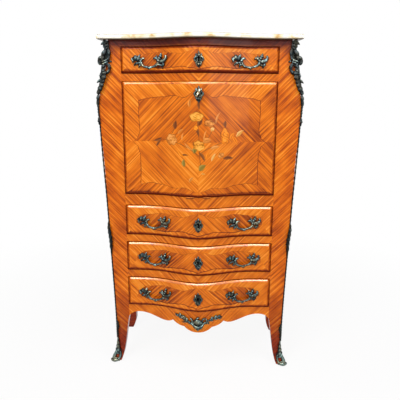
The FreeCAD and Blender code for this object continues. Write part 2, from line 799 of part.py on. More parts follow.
def corner_mount():
    """The pierced mount at the head of the right-hand corner."""
    foot = over_fall_z - chute_drop
    levels = [carcass_top - chute_top_gap, top_drawer_z + 0.86 * top_drawer_height]
    levels = levels + [top_drawer_z + 0.45 * top_drawer_height, top_drawer_z]
    levels = levels + [over_fall_z - 0.12 * chute_drop, over_fall_z - 0.52 * chute_drop, foot]
    widths = [0.42, 0.58, 1.0, 0.83, 0.5, 0.42, 0.17]
    proud = [0.45, 0.5, 1.0, 0.7, 0.45, 0.5, 0.35]
    outer = [V(edge_x(z) + p * chute_proud, -mount_proud, z) for z, p in zip(levels, proud)]
    inner = [V(edge_x(z) - w * chute_width, -mount_proud, z) for z, w in zip(levels, widths)]
    chute = band(outer, inner, chute_depth + mount_proud)
    for level, share in ((levels[2], 0.3), (levels[4], 0.2)):
        radius = share * chute_width
        hole_x = edge_x(level) + 0.1 * chute_proud
        chute = chute.cut(cylinder_y(radius, -2 * mount_proud, chute_depth, hole_x, level))
    return chute


def knee_leaf():
    """The leaf on the corner between the lower drawers."""
    leaf = [(-0.2, 1.0), (-0.67, 0.75), (-0.5, 0.5), (-1.0, 0.2)]
    leaf = leaf + [(-0.55, -0.1), (-0.78, -0.4), (-0.33, -0.7), (-0.1, -1.0)]
    leaf = leaf + [(0.4, -0.6), (0.4, 0.0), (0.4, 0.6)]
    x = edge_x(upper_rail_z)
    outline = [(x + share * knee_width, upper_rail_z + rise * knee_half) for share, rise in leaf]
    return closed_outline(outline, -mount_proud, chute_depth)


def corner_bronzes(post):
    """The corner mount, the edge strip and the knee leaf on the right-hand post."""
    foot = over_fall_z - chute_drop
    levels = [foot] + [z for z, wide in post_levels if 0.45 * leg_height <= z < foot]
    outer = [V(edge_x(z) + strip_proud, -strip_proud, z) for z in levels]
    inner = [V(edge_x(z) + strip_proud - strip_width, -strip_proud, z) for z in levels]
    strip = band(outer, inner, 2 * strip_width)
    knee = knee_leaf()
    return [corner_mount().cut(post), strip.cut(post).cut(knee), knee.cut(post)]


def sabot(post):
    """A cast shoe on the outer half of the foot, with a floor under the leg and a scrolled toe."""
    shell = front_post(grow=sabot_wall)
    wide = 2 * marble_half
    above = box(0, wide, -back_y, back_y, sabot_height, 2 * carcass_top)
    toe_x = opening_half + toe_out
    toe_y = 0.33 * toe_radius - toe_radius
    toe = cylinder_x(toe_radius, toe_x - toe_radius, toe_x + 1.2 * toe_radius, toe_y, toe_radius)
    inner = box(0, opening_half + sabot_edge, -back_y, back_y, 2 * sabot_floor, sabot_height)
    return shell.cut(above).cut(inner).fuse(toe).cut(post)


def apron_mount(carrier):
    """A spray of leaves over the middle of the apron."""
    h = leg_height
    half = apron_mount_half
    right = [(0, 0.9), (0.14, 0.82), (0.45, 0.84), (0.75, 0.91), (1.0, 0.9)]
    right = right + [(0.7, 0.85), (0.45, 0.76), (0.25, 0.72), (0, 0.665)]
    left = [(-x, s) for x, s in reversed(right[1:-1])]
    outline = [(x * half, s * h) for x, s in right + left]
    reach = bulge + 2 * mount_proud
    shell = plan_prism(1.2 * half, -mount_proud, 0.0, 0.5 * h, h)
    return closed_outline(outline, -reach, 0.0).common(shell).cut(carrier)


right_bronzes = corner_bronzes(right_post)
pieces["right_corner_bronzes"] = right_bronzes
pieces["left_corner_bronzes"] = [b.mirror(V(0, 0, 0), V(1, 0, 0)) for b in right_bronzes]
pieces["sabots"] = pair(sabot(right_post))
pieces["apron_mount"] = apron_mount(pieces["apron"])


# Writing the pieces

frame_shift = V(0, -0.5 * (key_end_y + back_y), 0)


def write_pieces():
    os.makedirs("parts", exist_ok=True)
    for name, shape in sorted(pieces.items()):
        if isinstance(shape, list):
            solids = [s for member in shape for s in member.Solids]
        else:
            solids = shape.Solids
        group = Part.makeCompound(solids).translated(frame_shift)
        group.exportStep(os.path.join("parts", name + ".step"))
        print(name, len(solids), "solids", round(sum(s.Volume for s in solids)), group.isValid())


write_pieces()
print(len(pieces), "pieces, frame shift", round(frame_shift.y, 3))
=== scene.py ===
import json
import math

import bmesh
import bpy
import numpy as np
from mathutils import Matrix, Vector


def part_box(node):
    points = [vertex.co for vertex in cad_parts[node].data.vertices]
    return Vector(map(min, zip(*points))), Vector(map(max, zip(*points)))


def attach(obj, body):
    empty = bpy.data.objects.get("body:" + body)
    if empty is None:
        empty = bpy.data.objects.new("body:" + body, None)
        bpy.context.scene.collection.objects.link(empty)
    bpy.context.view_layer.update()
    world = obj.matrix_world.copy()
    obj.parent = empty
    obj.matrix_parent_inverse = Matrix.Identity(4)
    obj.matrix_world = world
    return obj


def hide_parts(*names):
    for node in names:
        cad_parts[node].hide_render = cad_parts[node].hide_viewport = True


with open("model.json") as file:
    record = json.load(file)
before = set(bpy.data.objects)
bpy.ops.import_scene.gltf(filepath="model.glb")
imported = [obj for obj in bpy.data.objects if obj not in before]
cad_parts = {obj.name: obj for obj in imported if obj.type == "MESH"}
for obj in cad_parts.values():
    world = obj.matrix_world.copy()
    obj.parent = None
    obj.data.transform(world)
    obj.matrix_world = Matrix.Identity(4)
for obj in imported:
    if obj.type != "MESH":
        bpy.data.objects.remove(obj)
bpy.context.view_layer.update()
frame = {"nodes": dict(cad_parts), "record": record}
nodes = frame["nodes"]
mm = 0.001
drawerNames = ("top_drawer", "upper_drawer", "middle_drawer", "lower_drawer")
print("frame loaded:", len(nodes), "nodes")


# Plan of the front: a cosine swell with drawn-in shoulders, placed by the rail's box.
railLow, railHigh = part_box("upper_rail")
plan = {
    "half": railHigh.x,
    "bulge": 52 * mm,
    "shoulder": 0.26,
    "proud": 9 * mm,
}
plan["front"] = railLow.y + plan["bulge"]


def serpentine(x):  # y of the rails' face at x: the posts' front plane, less swell, plus shoulder
    share = np.asarray(x) / plan["half"]
    swell = np.cos(np.pi * share / 2) ** 2
    draw = plan["shoulder"] * np.sin(np.pi * share) ** 2
    return plan["front"] - plan["bulge"] * (swell - draw)


def linear(code):  # sRGB hex to linear RGBA
    parts = [int(code[i:i + 2], 16) / 255 for i in (1, 3, 5)]
    return [c / 12.92 if c <= 0.04045 else ((c + 0.055) / 1.055) ** 2.4 for c in parts] + [1.0]


def addNode(tree, kind, inputs=None, **settings):  # a node with its settings, values and links
    node = tree.nodes.new(kind)
    for key, value in settings.items():
        setattr(node, key, value)
    for key, value in (inputs or {}).items():
        if isinstance(value, bpy.types.NodeSocket):
            tree.links.new(value, node.inputs[key])
        else:
            node.inputs[key].default_value = value
    return node


def newMaterial(name, roughness, metallic=0.0):
    material = bpy.data.materials.new(name)
    material.use_nodes = True
    tree = material.node_tree
    shader = tree.nodes["Principled BSDF"]
    shader.inputs["Roughness"].default_value = roughness
    shader.inputs["Metallic"].default_value = metallic
    return material, tree, shader


def colourRamp(tree, level, stops):
    ramp = addNode(tree, "ShaderNodeValToRGB", {0: level})
    band = ramp.color_ramp
    while len(band.elements) < len(stops):
        band.elements.new(0.5)
    for element, (place, code) in zip(band.elements, stops):
        element.position = place
        element.color = linear(code)
    return ramp.outputs[0]


def darkenBetween(tree, colour, place, bands):  # multiplies in a colour from one height to another
    for start, end, code in bands:
        height = addNode(tree, "ShaderNodeSeparateXYZ", {0: place}).outputs[2]
        share = addNode(tree, "ShaderNodeMapRange", {"Value": height, "From Min": start, "From Max": end})
        colour = addNode(tree, "ShaderNodeMix", {0: share.outputs[0], 6: colour, 7: linear(code)},
                         data_type="RGBA", blend_type="MULTIPLY").outputs[2]
    return colour


# Tulipwood veneer, sliced and French polished: straight warm stripes under a hard gloss.
veneerLook = {
    "stripe": 5.5 * mm,
    "stripeLength": 260 * mm,
    "pore": 1.6 * mm,      # drawn coarser than real pores so that it shows
    "cloud": 90 * mm,
    "poreShort": 6,        # pores are this many times shorter than stripes
    "poreShare": 0.22,
    "cloudShare": 0.42,
    "roughness": 0.24,
    "gloss": (0.15, 0.08, 0.08),  # specular level, coat, the coat's roughness
}


def veneer(name, stops, grain=None, darkBands=(), gloss=veneerLook["gloss"]):
    # without a grain the stripes follow the leaf's own map; with one they run at an angle
    # through the piece, mirrored about the grain's centre
    look = veneerLook
    material, tree, shader = newMaterial(name, look["roughness"])
    along, stripe, pore = 1 / look["stripeLength"], 1 / look["stripe"], 1 / look["pore"]
    poreAlong = look["poreShort"] * along
    if grain is None:
        spot = addNode(tree, "ShaderNodeUVMap", uv_map="grain").outputs[0]
        stripeScale = (along, stripe, 1.0)
        poreScale = (poreAlong, pore, 1.0)
    else:
        place = addNode(tree, "ShaderNodeTexCoord").outputs["Object"]
        offset = [-c for c in grain["centre"]]
        centred = addNode(tree, "ShaderNodeMapping", {0: place, "Location": offset})
        folded = addNode(tree, "ShaderNodeVectorMath", {0: centred.outputs[0]}, operation="ABSOLUTE")
        turned = addNode(tree, "ShaderNodeMapping", {0: folded.outputs[0], "Rotation": grain["turn"]})
        spot = turned.outputs[0]
        stripeScale = (along, along, stripe)
        poreScale = (poreAlong, poreAlong, pore)
    wide = addNode(tree, "ShaderNodeMapping", {0: spot, "Scale": stripeScale}).outputs[0]
    fine = addNode(tree, "ShaderNodeMapping", {0: spot, "Scale": poreScale}).outputs[0]
    stripes = addNode(tree, "ShaderNodeTexNoise", {
        "Vector": wide, "Scale": 1.0, "Detail": 4.0, "Roughness": 0.6, "Distortion": 0.3})
    pores = addNode(tree, "ShaderNodeTexNoise", {"Vector": fine, "Scale": 1.0, "Detail": 2.0})
    cloud = addNode(tree, "ShaderNodeTexNoise", {
        "Vector": spot, "Scale": 1 / look["cloud"], "Detail": 2.0})
    level = addNode(tree, "ShaderNodeMath", {
        0: pores.outputs[0], 1: look["poreShare"], 2: stripes.outputs[0]}, operation="MULTIPLY_ADD")
    level = addNode(tree, "ShaderNodeMath", {
        0: cloud.outputs[0], 1: look["cloudShare"], 2: level.outputs[0]}, operation="MULTIPLY_ADD")
    if grain is None:
        tone = addNode(tree, "ShaderNodeAttribute", attribute_name="tone").outputs["Fac"]
        level = addNode(tree, "ShaderNodeMath", {0: level.outputs[0], 1: tone}, operation="ADD")
    colour = colourRamp(tree, level.outputs[0], stops)
    if darkBands:  # darkened between given heights: painted shade under the marble, and darker towards the floor on the legs
        colour = darkenBetween(tree, colour, place, darkBands)
    bump = addNode(tree, "ShaderNodeBump", {
        "Height": pores.outputs[0], "Strength": 0.05, "Distance": 0.3 * mm})
    tree.links.new(colour, shader.inputs["Base Color"])
    tree.links.new(bump.outputs[0], shader.inputs["Normal"])
    shader.inputs["Specular IOR Level"].default_value = gloss[0]
    shader.inputs["Coat Weight"].default_value = gloss[1]
    shader.inputs["Coat Roughness"].default_value = gloss[2]
    return material


tulipStops = [(0.12, "#1E0703"), (0.54, "#702803"), (0.69, "#B4520A"), (0.81, "#D66C0A"),
              (0.92, "#E68018"), (1.0, "#F09630")]
carcassStops = [(0.12, "#1E0703"), (0.55, "#641E02"), (0.70, "#A44404"), (0.81, "#CE6004"),
                (0.92, "#E27810"), (1.0, "#EE9028")]
# a darker ramp for painted shade on the fronts' edges
shadeStops = [(0.05, "#4E1204"), (0.5, "#6A2206"), (0.8, "#B4520A"), (1.0, "#D87818")]
diagonal = math.radians(45)
# where the wood begins to darken, where it is darkest, and how; under the marble this is painted shade
# from its overhang
marbleOverhangShade = (1.205, 1.236, "#6A3A2C")
legShade = (0.30, 0.10, "#A8745E")
tulipLeaf = veneer("tulipwood_leaf", tulipStops)
# polish lies thick on the drawers' upper edges, less so on the fall's, and is worn dull on the others,
# whose darker colour is painted shade
tulipEdge = veneer("tulipwood_edge", tulipStops, gloss=(0.4, 0.8, 0.3))
tulipWorn = veneer("tulipwood_worn_edge", tulipStops, gloss=(0.25, 0.3, 0.3))
tulipShaded = veneer("tulipwood_painted_shade", shadeStops, gloss=(0.05, 0.0, 0.3))
tulipPost = veneer("tulipwood_post", carcassStops, {"centre": (0, 0.37, -0.21), "turn": (0, diagonal, 0)},
                   [marbleOverhangShade, legShade])
tulipRail = veneer("tulipwood_rail", tulipStops, {"centre": (0, 0, 0), "turn": (0, diagonal, 0)},
                   [marbleOverhangShade])
tulipSide = veneer("tulipwood_side", carcassStops, {"centre": (0, 0.05, 0.75), "turn": (diagonal, 0, 0)},
                   [marbleOverhangShade, legShade])
caseVeneer = veneer("tulipwood_case", carcassStops, {"centre": (0.9, 0, 0), "turn": (0, 0, 0)})


# Marquetry woods: dyed and shaded in hot sand, cut thin and let into the tulipwood.
inlayStops = {
    "ochre": [(0.40, "#6E3408"), (0.60, "#B4660E"), (0.82, "#E4962E"), (1.0, "#F0AC48")],
    "orange": [(0.40, "#7A3404"), (0.60, "#B85804"), (0.82, "#EA8008"), (1.0, "#F49A28")],
    "tan": [(0.40, "#7A3C10"), (0.60, "#B0601C"), (0.82, "#DC8834"), (1.0, "#E8A050")],
    "green": [(0.45, "#4A3A10"), (0.65, "#7A6420"), (0.85, "#90782C"), (1.0, "#A48A3C")],
    "brown": [(0.45, "#38160A"), (0.65, "#6A3210"), (0.85, "#844818"), (1.0, "#9C5C28")],
    "pale": [(0.45, "#A85C18"), (0.65, "#D08A30"), (0.85, "#E4A850"), (1.0, "#F0C47C")],
}
inlayWoods = {key: veneer("inlay_" + key, stops) for key, stops in inlayStops.items()}


# Oak, planed and waxed: open brown grain, little shine.
def oak():
    material, tree, shader = newMaterial("oak_waxed", 0.5)
    spot = addNode(tree, "ShaderNodeTexCoord").outputs["Object"]
    grain = addNode(tree, "ShaderNodeMapping", {
        0: spot, "Scale": (1 / (250 * mm), 1 / (16 * mm), 1 / (7 * mm))}).outputs[0]
    noise = addNode(tree, "ShaderNodeTexNoise", {"Vector": grain, "Scale": 1.0, "Detail": 5.0})
    colour = colourRamp(tree, noise.outputs[0], [(0.3, "#7C5A34"), (0.5, "#A67F4E"), (0.7, "#BE9A66")])
    bump = addNode(tree, "ShaderNodeBump", {
        "Height": noise.outputs[0], "Strength": 0.15, "Distance": 0.4 * mm})
    tree.links.new(colour, shader.inputs["Base Color"])
    tree.links.new(bump.outputs[0], shader.inputs["Normal"])
    return material


# Cast bronze, patinated: near black in the hollows, rubbed to grey-green and olive on the high spots.
def bronze():
    material, tree, shader = newMaterial("bronze_patinated", 0.44, 0.8)
    spot = addNode(tree, "ShaderNodeTexCoord").outputs["Object"]
    high = addNode(tree, "ShaderNodeAttribute", attribute_name="tone").outputs["Fac"]
    cloud = addNode(tree, "ShaderNodeTexNoise", {"Vector": spot, "Scale": 1 / (7 * mm), "Detail": 4.0})
    patch = addNode(tree, "ShaderNodeTexNoise", {"Vector": spot, "Scale": 1 / (26 * mm), "Detail": 2.0})
    grit = addNode(tree, "ShaderNodeTexNoise", {"Vector": spot, "Scale": 1 / (2.2 * mm), "Detail": 2.0})
    level = addNode(tree, "ShaderNodeMath", {
        0: cloud.outputs[0], 1: 0.7, 2: high}, operation="MULTIPLY_ADD")
    cool = colourRamp(tree, level.outputs[0], [
        (0.42, "#050607"), (0.72, "#12181A"), (0.92, "#303C3E"), (1.0, "#60746F")])
    warm = colourRamp(tree, level.outputs[0], [
        (0.42, "#070604"), (0.72, "#191812"), (0.92, "#403E32"), (1.0, "#74735F")])
    share = addNode(tree, "ShaderNodeMapRange", {
        "Value": patch.outputs[0], "From Min": 0.45, "From Max": 0.62})
    colour = addNode(tree, "ShaderNodeMix", {
        0: share.outputs[0], 6: cool, 7: warm}, data_type="RGBA").outputs[2]
    bump = addNode(tree, "ShaderNodeBump", {
        "Height": grit.outputs[0], "Strength": 0.25, "Distance": 0.5 * mm})
    tree.links.new(colour, shader.inputs["Base Color"])
    tree.links.new(bump.outputs[0], shader.inputs["Normal"])
    return material


# Brass, cast and polished, a little tarnished; the hinges have gone brown.
def brass(name, dark, light):
    material, tree, shader = newMaterial(name, 0.3, 1.0)
    spot = addNode(tree, "ShaderNodeTexCoord").outputs["Object"]
    noise = addNode(tree, "ShaderNodeTexNoise", {"Vector": spot, "Scale": 1 / (6 * mm), "Detail": 3.0})
    colour = colourRamp(tree, noise.outputs[0], [(0.3, dark), (0.7, light)])
    tree.links.new(colour, shader.inputs["Base Color"])
    return material


# Cream marble, polished: soft clouds, ochre patches, a darker line along the top arris, and painted shade
# under the slab.
marbleShadeAndArrisLine = [(1.2562, 1.2515, "#5A4636"), (1.2635, 1.2662, "#C8C2B8")]


def marble():
    material, tree, shader = newMaterial("marble_cream", 0.25)
    spot = addNode(tree, "ShaderNodeTexCoord").outputs["Object"]
    cloud = addNode(tree, "ShaderNodeTexNoise", {
        "Vector": spot, "Scale": 1 / (55 * mm), "Detail": 6.0, "Distortion": 0.8})
    vein = addNode(tree, "ShaderNodeTexNoise", {
        "Vector": spot, "Scale": 1 / (160 * mm), "Detail": 8.0, "Distortion": 2.5})
    level = addNode(tree, "ShaderNodeMath", {
        0: vein.outputs[0], 1: 0.5, 2: cloud.outputs[0]}, operation="MULTIPLY_ADD")
    colour = colourRamp(tree, level.outputs[0], [
        (0.56, "#C89E5C"), (0.66, "#E6D6AC"), (0.76, "#EFEBDC"), (0.95, "#F2F1E8")])
    colour = darkenBetween(tree, colour, spot, marbleShadeAndArrisLine)
    tree.links.new(colour, shader.inputs["Base Color"])
    shader.inputs["Specular IOR Level"].default_value = 0.3
    return material


# Writing leather, dyed green and glazed, with a pebbled grain.
def leather():
    material, tree, shader = newMaterial("leather_green", 0.45)
    spot = addNode(tree, "ShaderNodeTexCoord").outputs["Object"]
    grain = addNode(tree, "ShaderNodeTexVoronoi", {"Vector": spot, "Scale": 1 / (2.2 * mm)})
    cloud = addNode(tree, "ShaderNodeTexNoise", {"Vector": spot, "Scale": 1 / (60 * mm), "Detail": 4.0})
    colour = colourRamp(tree, cloud.outputs[0], [(0.3, "#1E3A24"), (0.7, "#34583A")])
    bump = addNode(tree, "ShaderNodeBump", {
        "Height": grain.outputs[0], "Strength": 0.3, "Distance": 0.3 * mm})
    tree.links.new(colour, shader.inputs["Base Color"])
    tree.links.new(bump.outputs[0], shader.inputs["Normal"])
    return material


# Lock steel, filed: grey with fine lines one way.
def lockSteel():
    material, tree, shader = newMaterial("steel_filed", 0.45, 1.0)
    spot = addNode(tree, "ShaderNodeTexCoord").outputs["Object"]
    lines = addNode(tree, "ShaderNodeMapping", {
        0: spot, "Scale": (1 / (25 * mm), 1 / (5 * mm), 1 / (1.1 * mm))}).outputs[0]
    noise = addNode(tree, "ShaderNodeTexNoise", {"Vector": lines, "Scale": 1.0, "Detail": 3.0})
    colour = colourRamp(tree, noise.outputs[0], [(0.3, "#4A4845"), (0.7, "#7E7C78")])
    tree.links.new(colour, shader.inputs["Base Color"])
    return material


# A sheet that stands in for the inside of a keyhole: painted shade, near black, no shine.
def keyholeShade():
    material, tree, shader = newMaterial("keyhole_painted_shade", 0.9)
    spot = addNode(tree, "ShaderNodeTexCoord").outputs["Object"]
    noise = addNode(tree, "ShaderNodeTexNoise", {"Vector": spot, "Scale": 1 / (3 * mm), "Detail": 2.0})
    colour = colourRamp(tree, noise.outputs[0], [(0.3, "#050404"), (0.7, "#120C0A")])
    tree.links.new(colour, shader.inputs["Base Color"])
    shader.inputs["Specular IOR Level"].default_value = 0.0
    return material


oakMaterial = oak()
bronzeMaterial = bronze()
brassMaterial = brass("brass_polished", "#A8803C", "#E0C88C")
brassPale = brass("brass_pale", "#8A8266", "#D8D2B6")
brassBrown = brass("brass_browned", "#542A0E", "#7A4218")
holeShadeMaterial = keyholeShade()
slotMaterials = {
    "marble": marble(),
    "front_veneer": tulipRail,
    "carcass_veneer": tulipRail,
    "oak": oakMaterial,
    "interior_veneer": caseVeneer,
    "bronze": bronzeMaterial,
    "brass": brassMaterial,
    "lock_steel": lockSteel(),
    "leather": leather(),
}
nodeMaterials = {
    "front_left_post": tulipPost,
    "front_right_post": tulipPost,
    "rear_posts": tulipSide,
    "left_side_panel": tulipSide,
    "right_side_panel": tulipSide,
    "fall_fixed_hinge_leaves": brassBrown,
    "fall_moving_hinge_leaves": brassBrown,
}
for part in frame["record"]["subparts"]:
    mesh = nodes[part["node"]].data
    mesh.materials.clear()
    mesh.materials.append(nodeMaterials.get(part["node"], slotMaterials[part["material_slot"]]))
print("materials given to the carried-over nodes")


def sheet(points, uv=None, tone=0.0, material=0, closed=(False, False)):
    # a grid of points; one material for all its faces or one for each, and -1 leaves a face out
    return {"points": points, "uv": uv, "tone": tone, "material": material, "closed": closed}


def gridFaces(rows, columns, closed, start):  # quads of a grid, wrapped where it is closed
    index = np.arange(rows * columns).reshape(rows, columns) + start
    if closed[0]:
        index = np.concatenate([index, index[:1]], 0)
    if closed[1]:
        index = np.concatenate([index, index[:, :1]], 1)
    corners = [index[:-1, :-1], index[1:, :-1], index[1:, 1:], index[:-1, 1:]]
    return np.stack(corners, -1).reshape(-1, 4)


meshLook = {
    "weld": 1e-6,
    "crispAngle": math.radians(35),
}


def buildPiece(name, sheets, materials, body, stands=(), crisp=False):
    # joins grids into one mesh with a grain map, a tone and a material for each
    vertices, faces, uvs, tones, slots = [], [], [], [], []
    count = 0
    for one in sheets:
        points = np.asarray(one["points"], float)
        rows, columns = points.shape[:2]
        quads = gridFaces(rows, columns, one["closed"], count)
        vertices.append(points.reshape(-1, 3))
        uv = one["uv"] if one["uv"] is not None else points[..., [0, 2]]
        uvs.append(np.asarray(uv).reshape(-1, 2))
        tones.append(np.broadcast_to(one["tone"], (rows, columns)).reshape(-1))
        spans = (rows - 1 + one["closed"][0], columns - 1 + one["closed"][1])
        choice = np.broadcast_to(one["material"], spans).reshape(-1)
        faces.append(quads[choice >= 0])
        slots.append(choice[choice >= 0])
        count += rows * columns
    mesh = bpy.data.meshes.new(name)
    allFaces = np.concatenate(faces)
    mesh.from_pydata(np.concatenate(vertices).tolist(), [], allFaces.tolist())
    for material in materials:
        mesh.materials.append(material)
    mesh.polygons.foreach_set("material_index", np.concatenate(slots).astype(np.int32))
    mesh.polygons.foreach_set("use_smooth", np.ones(len(allFaces), bool))
    layer = mesh.uv_layers.new(name="grain")
    cornerUv = np.concatenate(uvs)[allFaces.reshape(-1)]
    layer.data.foreach_set("uv", cornerUv.astype(np.float32).reshape(-1))
    shade = mesh.attributes.new("tone", "FLOAT", "POINT")
    shade.data.foreach_set("value", np.concatenate(tones).astype(np.float32))
    work = bmesh.new()
    work.from_mesh(mesh)
    bmesh.ops.remove_doubles(work, verts=work.verts, dist=meshLook["weld"])
    bmesh.ops.recalc_face_normals(work, faces=work.faces)
    work.to_mesh(mesh)
    work.free()
    if crisp:
        mesh.set_sharp_from_angle(angle=meshLook["crispAngle"])
    mesh.update()
    piece = bpy.data.objects.new(name, mesh)
    bpy.context.scene.collection.objects.link(piece)
    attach(piece, body)
    if stands:
        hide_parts(*stands)
    return piece


def facesAway(points, towards):  # whether a grid's normal points the wrong way
    across = points[1:, :-1] - points[:-1, :-1]
    along = points[:-1, 1:] - points[:-1, :-1]
    return (np.cross(across, along) @ np.asarray(towards, float)).sum() < 0


def facing(points, towards):  # turns a grid over where it faces away
    return points[::-1] if facesAway(points, towards) else points


def thicken(one, thickness, polar=False):
    # closes a sheet with a back that lies deeper; a polar one is carried over its rim, any other is
    # wrapped round its long edges and pinched at both ends
    front = np.asarray(one["points"], float)
    back = front + np.array([0, thickness, 0])
    middle = 0.5 * (front + back)
    uv = one["uv"] if one["uv"] is not None else front[..., [0, 2]]
    tone = np.broadcast_to(one["tone"], front.shape[:2])
    if polar:
        points = np.concatenate([front, back[::-1]])[:, :-1]
        uv = np.concatenate([uv, uv[::-1]])[:, :-1]
        tone = np.concatenate([tone, tone[::-1]])[:, :-1]
    else:
        pinch = np.concatenate([middle, middle[:, ::-1]], 1)
        wrap = np.concatenate([front, back[:, ::-1]], 1)
        points = np.concatenate([pinch[:1], wrap, pinch[-1:]])
        uv = np.concatenate([uv, uv[:, ::-1]], 1)
        uv = np.concatenate([uv[:1], uv, uv[-1:]])
        tone = np.concatenate([tone, tone[:, ::-1]], 1)
        tone = np.concatenate([tone[:1], tone, tone[-1:]])
    return sheet(points, uv, tone, one["material"], (False, True))


def smoothLine(places, values, x):  # eased between the stated points, level at each of them
    places = np.asarray(places, float)
    values = np.asarray(values, float)
    i = np.clip(np.searchsorted(places, x) - 1, 0, len(places) - 2)
    t = np.clip((x - places[i]) / (places[i + 1] - places[i]), 0, 1)
    ease = t * t * (3 - 2 * t)
    return values[i] * (1 - ease) + values[i + 1] * ease


# Drawer fronts and fall: a serpentine block with a bullnose edge, and veneer leaves on its face.
frontLook = {
    "round": 9.5 * mm,
    "leafLift": 0.15 * mm,
    "leafStep": 0.01 * mm,  # neighbours lie a hair apart
    "leafThick": 0.5 * mm,
    "columns": 121,
    "rimSteps": 12,
    "leafRows": 14,
    "leafColumns": {"fall": 60, "drawer": 80},
    "joint": (0.028, 0.045, -0.3),  # share of a leaf that its glued joint darkens, where it ends, tone
    "grainStep": (0.731, 0.377),  # metres along and across the grain from one seed's place to the next
    "edgeGrain": (45, 3),  # angle, and the seed of its place
    "footTone": -0.72,     # painted shade on the lower edges
    "endShare": 0.5,       # and less at the ends
    "footFade": 0.5,       # how the painted shade comes on over the rounding: a power of the way into it
    "endFade": 1.1,
    "headTone": (-0.6, 0.15),  # painted shade on the upper edge under the marble and along the rail, and a painted highlight on it in the light
    "footLeafShade": (-0.4, 9),    # painted shade also along the foot of the lowest leaves; a power of the way down
    "backLift": 0.4 * mm,  # the oak back lies just under the leather and the lock
    "shadeFrom": 0.93,      # share of the upper rounding above which painted shade lies, for the shadow along the rail
    "boltGap": 0.6 * mm,
    "slack": 1e-9,         # takes up the rounding of numbers
}
leafSlot, oakSlot, polishSlot, shadeSlot = range(4)  # in the order of the fronts' woods


def grainMap(points, slope, seed):  # metres along and across the grain, each leaf from its own place
    angle = math.radians(slope)
    along = points[..., 0] * math.cos(angle) + points[..., 2] * math.sin(angle)
    across = points[..., 2] * math.cos(angle) - points[..., 0] * math.sin(angle)
    stepAlong, stepAcross = frontLook["grainStep"]
    return np.stack([along + stepAlong * seed, across + stepAcross * seed], -1)


def boltWay(mouth, floorZ):  # the rim of the gap for the bolt, carried straight down to a floor
    floor = mouth.copy()
    floor[..., 2] = floorZ
    rims = [np.concatenate([grid[:, 1], grid[::-1, 0]]) for grid in (mouth, floor)]
    return [sheet(np.stack(rims), None, 0.0, oakSlot, (False, True)), sheet(floor, None, 0.0, oakSlot)]


def frontBlock(box, name, headDrop=0.0, lit=True, wayFoot=math.inf):
    # a bullnose section carried along the serpentine; at the ends the same rounding runs across:
    # depth = r - sqrt(r^2 - a^2 - b^2), a into the end and b into the top or bottom edge;
    # the bolt's way ends at wayFoot, or just under the bolt
    low, high = box
    look = frontLook
    radius = look["round"]
    boltLow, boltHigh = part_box(name + "_bolt")
    wayX = boltHigh.x + look["boltGap"]
    wayY = (boltLow.y - look["boltGap"], boltHigh.y + look["boltGap"])
    rim = radius * np.sin(np.linspace(0, np.pi / 2, look["rimSteps"]))
    inner = np.linspace(-(high.x - radius), high.x - radius, look["columns"])
    inner = np.sort(np.append(inner, [-wayX, wayX]))
    x = np.concatenate([inner[0] - rim[:0:-1], inner, inner[-1] + rim[1:]])
    into = np.concatenate([rim[:0:-1], np.zeros(len(inner)), rim[1:]])[:, None] / radius
    z = np.concatenate([low.z + radius - rim[::-1], high.z - radius + rim])[None]
    edge = np.concatenate([rim[::-1], rim])[None] / radius
    depth = radius * (1 - np.sqrt(np.clip(1 - into ** 2 - edge ** 2, 0, None)))
    face = serpentine(x)[:, None] - plan["proud"] + depth
    shape = face.shape
    ring = np.stack([np.broadcast_to(x[:, None], shape), face, np.broadcast_to(z, shape)], -1)
    back = high.y - look["backLift"]
    flat = np.ones_like(x)
    foot = np.stack([x, back * flat, low.z * flat], -1)[:, None]
    head = np.stack([x, back * flat, (high.z - headDrop) * flat], -1)[:, None]
    last = ring[:, -1:]
    ways = [last + (head - last) * ((y - last[..., 1:2]) / (back - last[..., 1:2])) for y in wayY]
    tube = np.concatenate([foot, ring, *ways, head], 1)
    footShare = np.concatenate([[1], rim[::-1] / radius, 0 * rim, [0, 0, 0]])[None]
    headShare = np.concatenate([[0], 0 * rim, rim / radius, [1, 1, 1]])[None]
    # painted shade on the lower, end and top roundings and the end caps; a painted highlight on lit upper
    # edges
    shadedTop = headShare > look["shadeFrom"]
    shading = np.maximum(footShare ** look["footFade"], look["endShare"] * into ** look["endFade"])
    tone = look["footTone"] * shading
    tone = tone + np.where(shadedTop, look["headTone"][0], look["headTone"][lit] * headShare)
    glossy = (headShare[:, 1:] > 0) & ~shadedTop[:, 1:] & (into[1:] + into[:-1] == 0) & lit
    wood = np.where(glossy, polishSlot, shadeSlot)
    inside = np.abs(x) <= wayX + look["slack"]
    between = inside[1:] & inside[:-1]
    wood[between, -2] = -1
    mirrored = tube.copy()
    mirrored[..., 0] = np.abs(mirrored[..., 0])
    sheets = [sheet(tube, grainMap(mirrored, *look["edgeGrain"]), tone, wood)]
    for end in (tube[0], tube[-1]):
        fan = np.stack([end, np.broadcast_to(end.mean(0), end.shape)])
        sheets.append(sheet(fan, None, look["footTone"] * look["endShare"], shadeSlot, (False, True)))
    rear = facing(np.stack([foot[:, 0], head[:, 0]]), (0, 1, 0))
    sheets.append(sheet(rear, None, 0.0, oakSlot))
    return sheets + boltWay(tube[inside, -3:-1], min(boltLow.z, wayFoot) - look["boltGap"])


def layLeaf(x, z, slope, seed, tone=0.0, material=leafSlot, lift=0.0, polar=False):
    # a leaf laid on the serpentine face, given by the x and z of its grid
    lift = lift + frontLook["leafLift"] + frontLook["leafStep"] * (seed % 5)
    points = np.stack([x, serpentine(x) - plan["proud"] - lift, z], -1)
    tone = np.broadcast_to(tone, x.shape)
    if facesAway(points, (0, -1, 0)):
        points, tone = points[:, ::-1], tone[:, ::-1]
    leaf = sheet(points, grainMap(points, slope, seed), tone, material)
    return thicken(leaf, frontLook["leafThick"], polar)


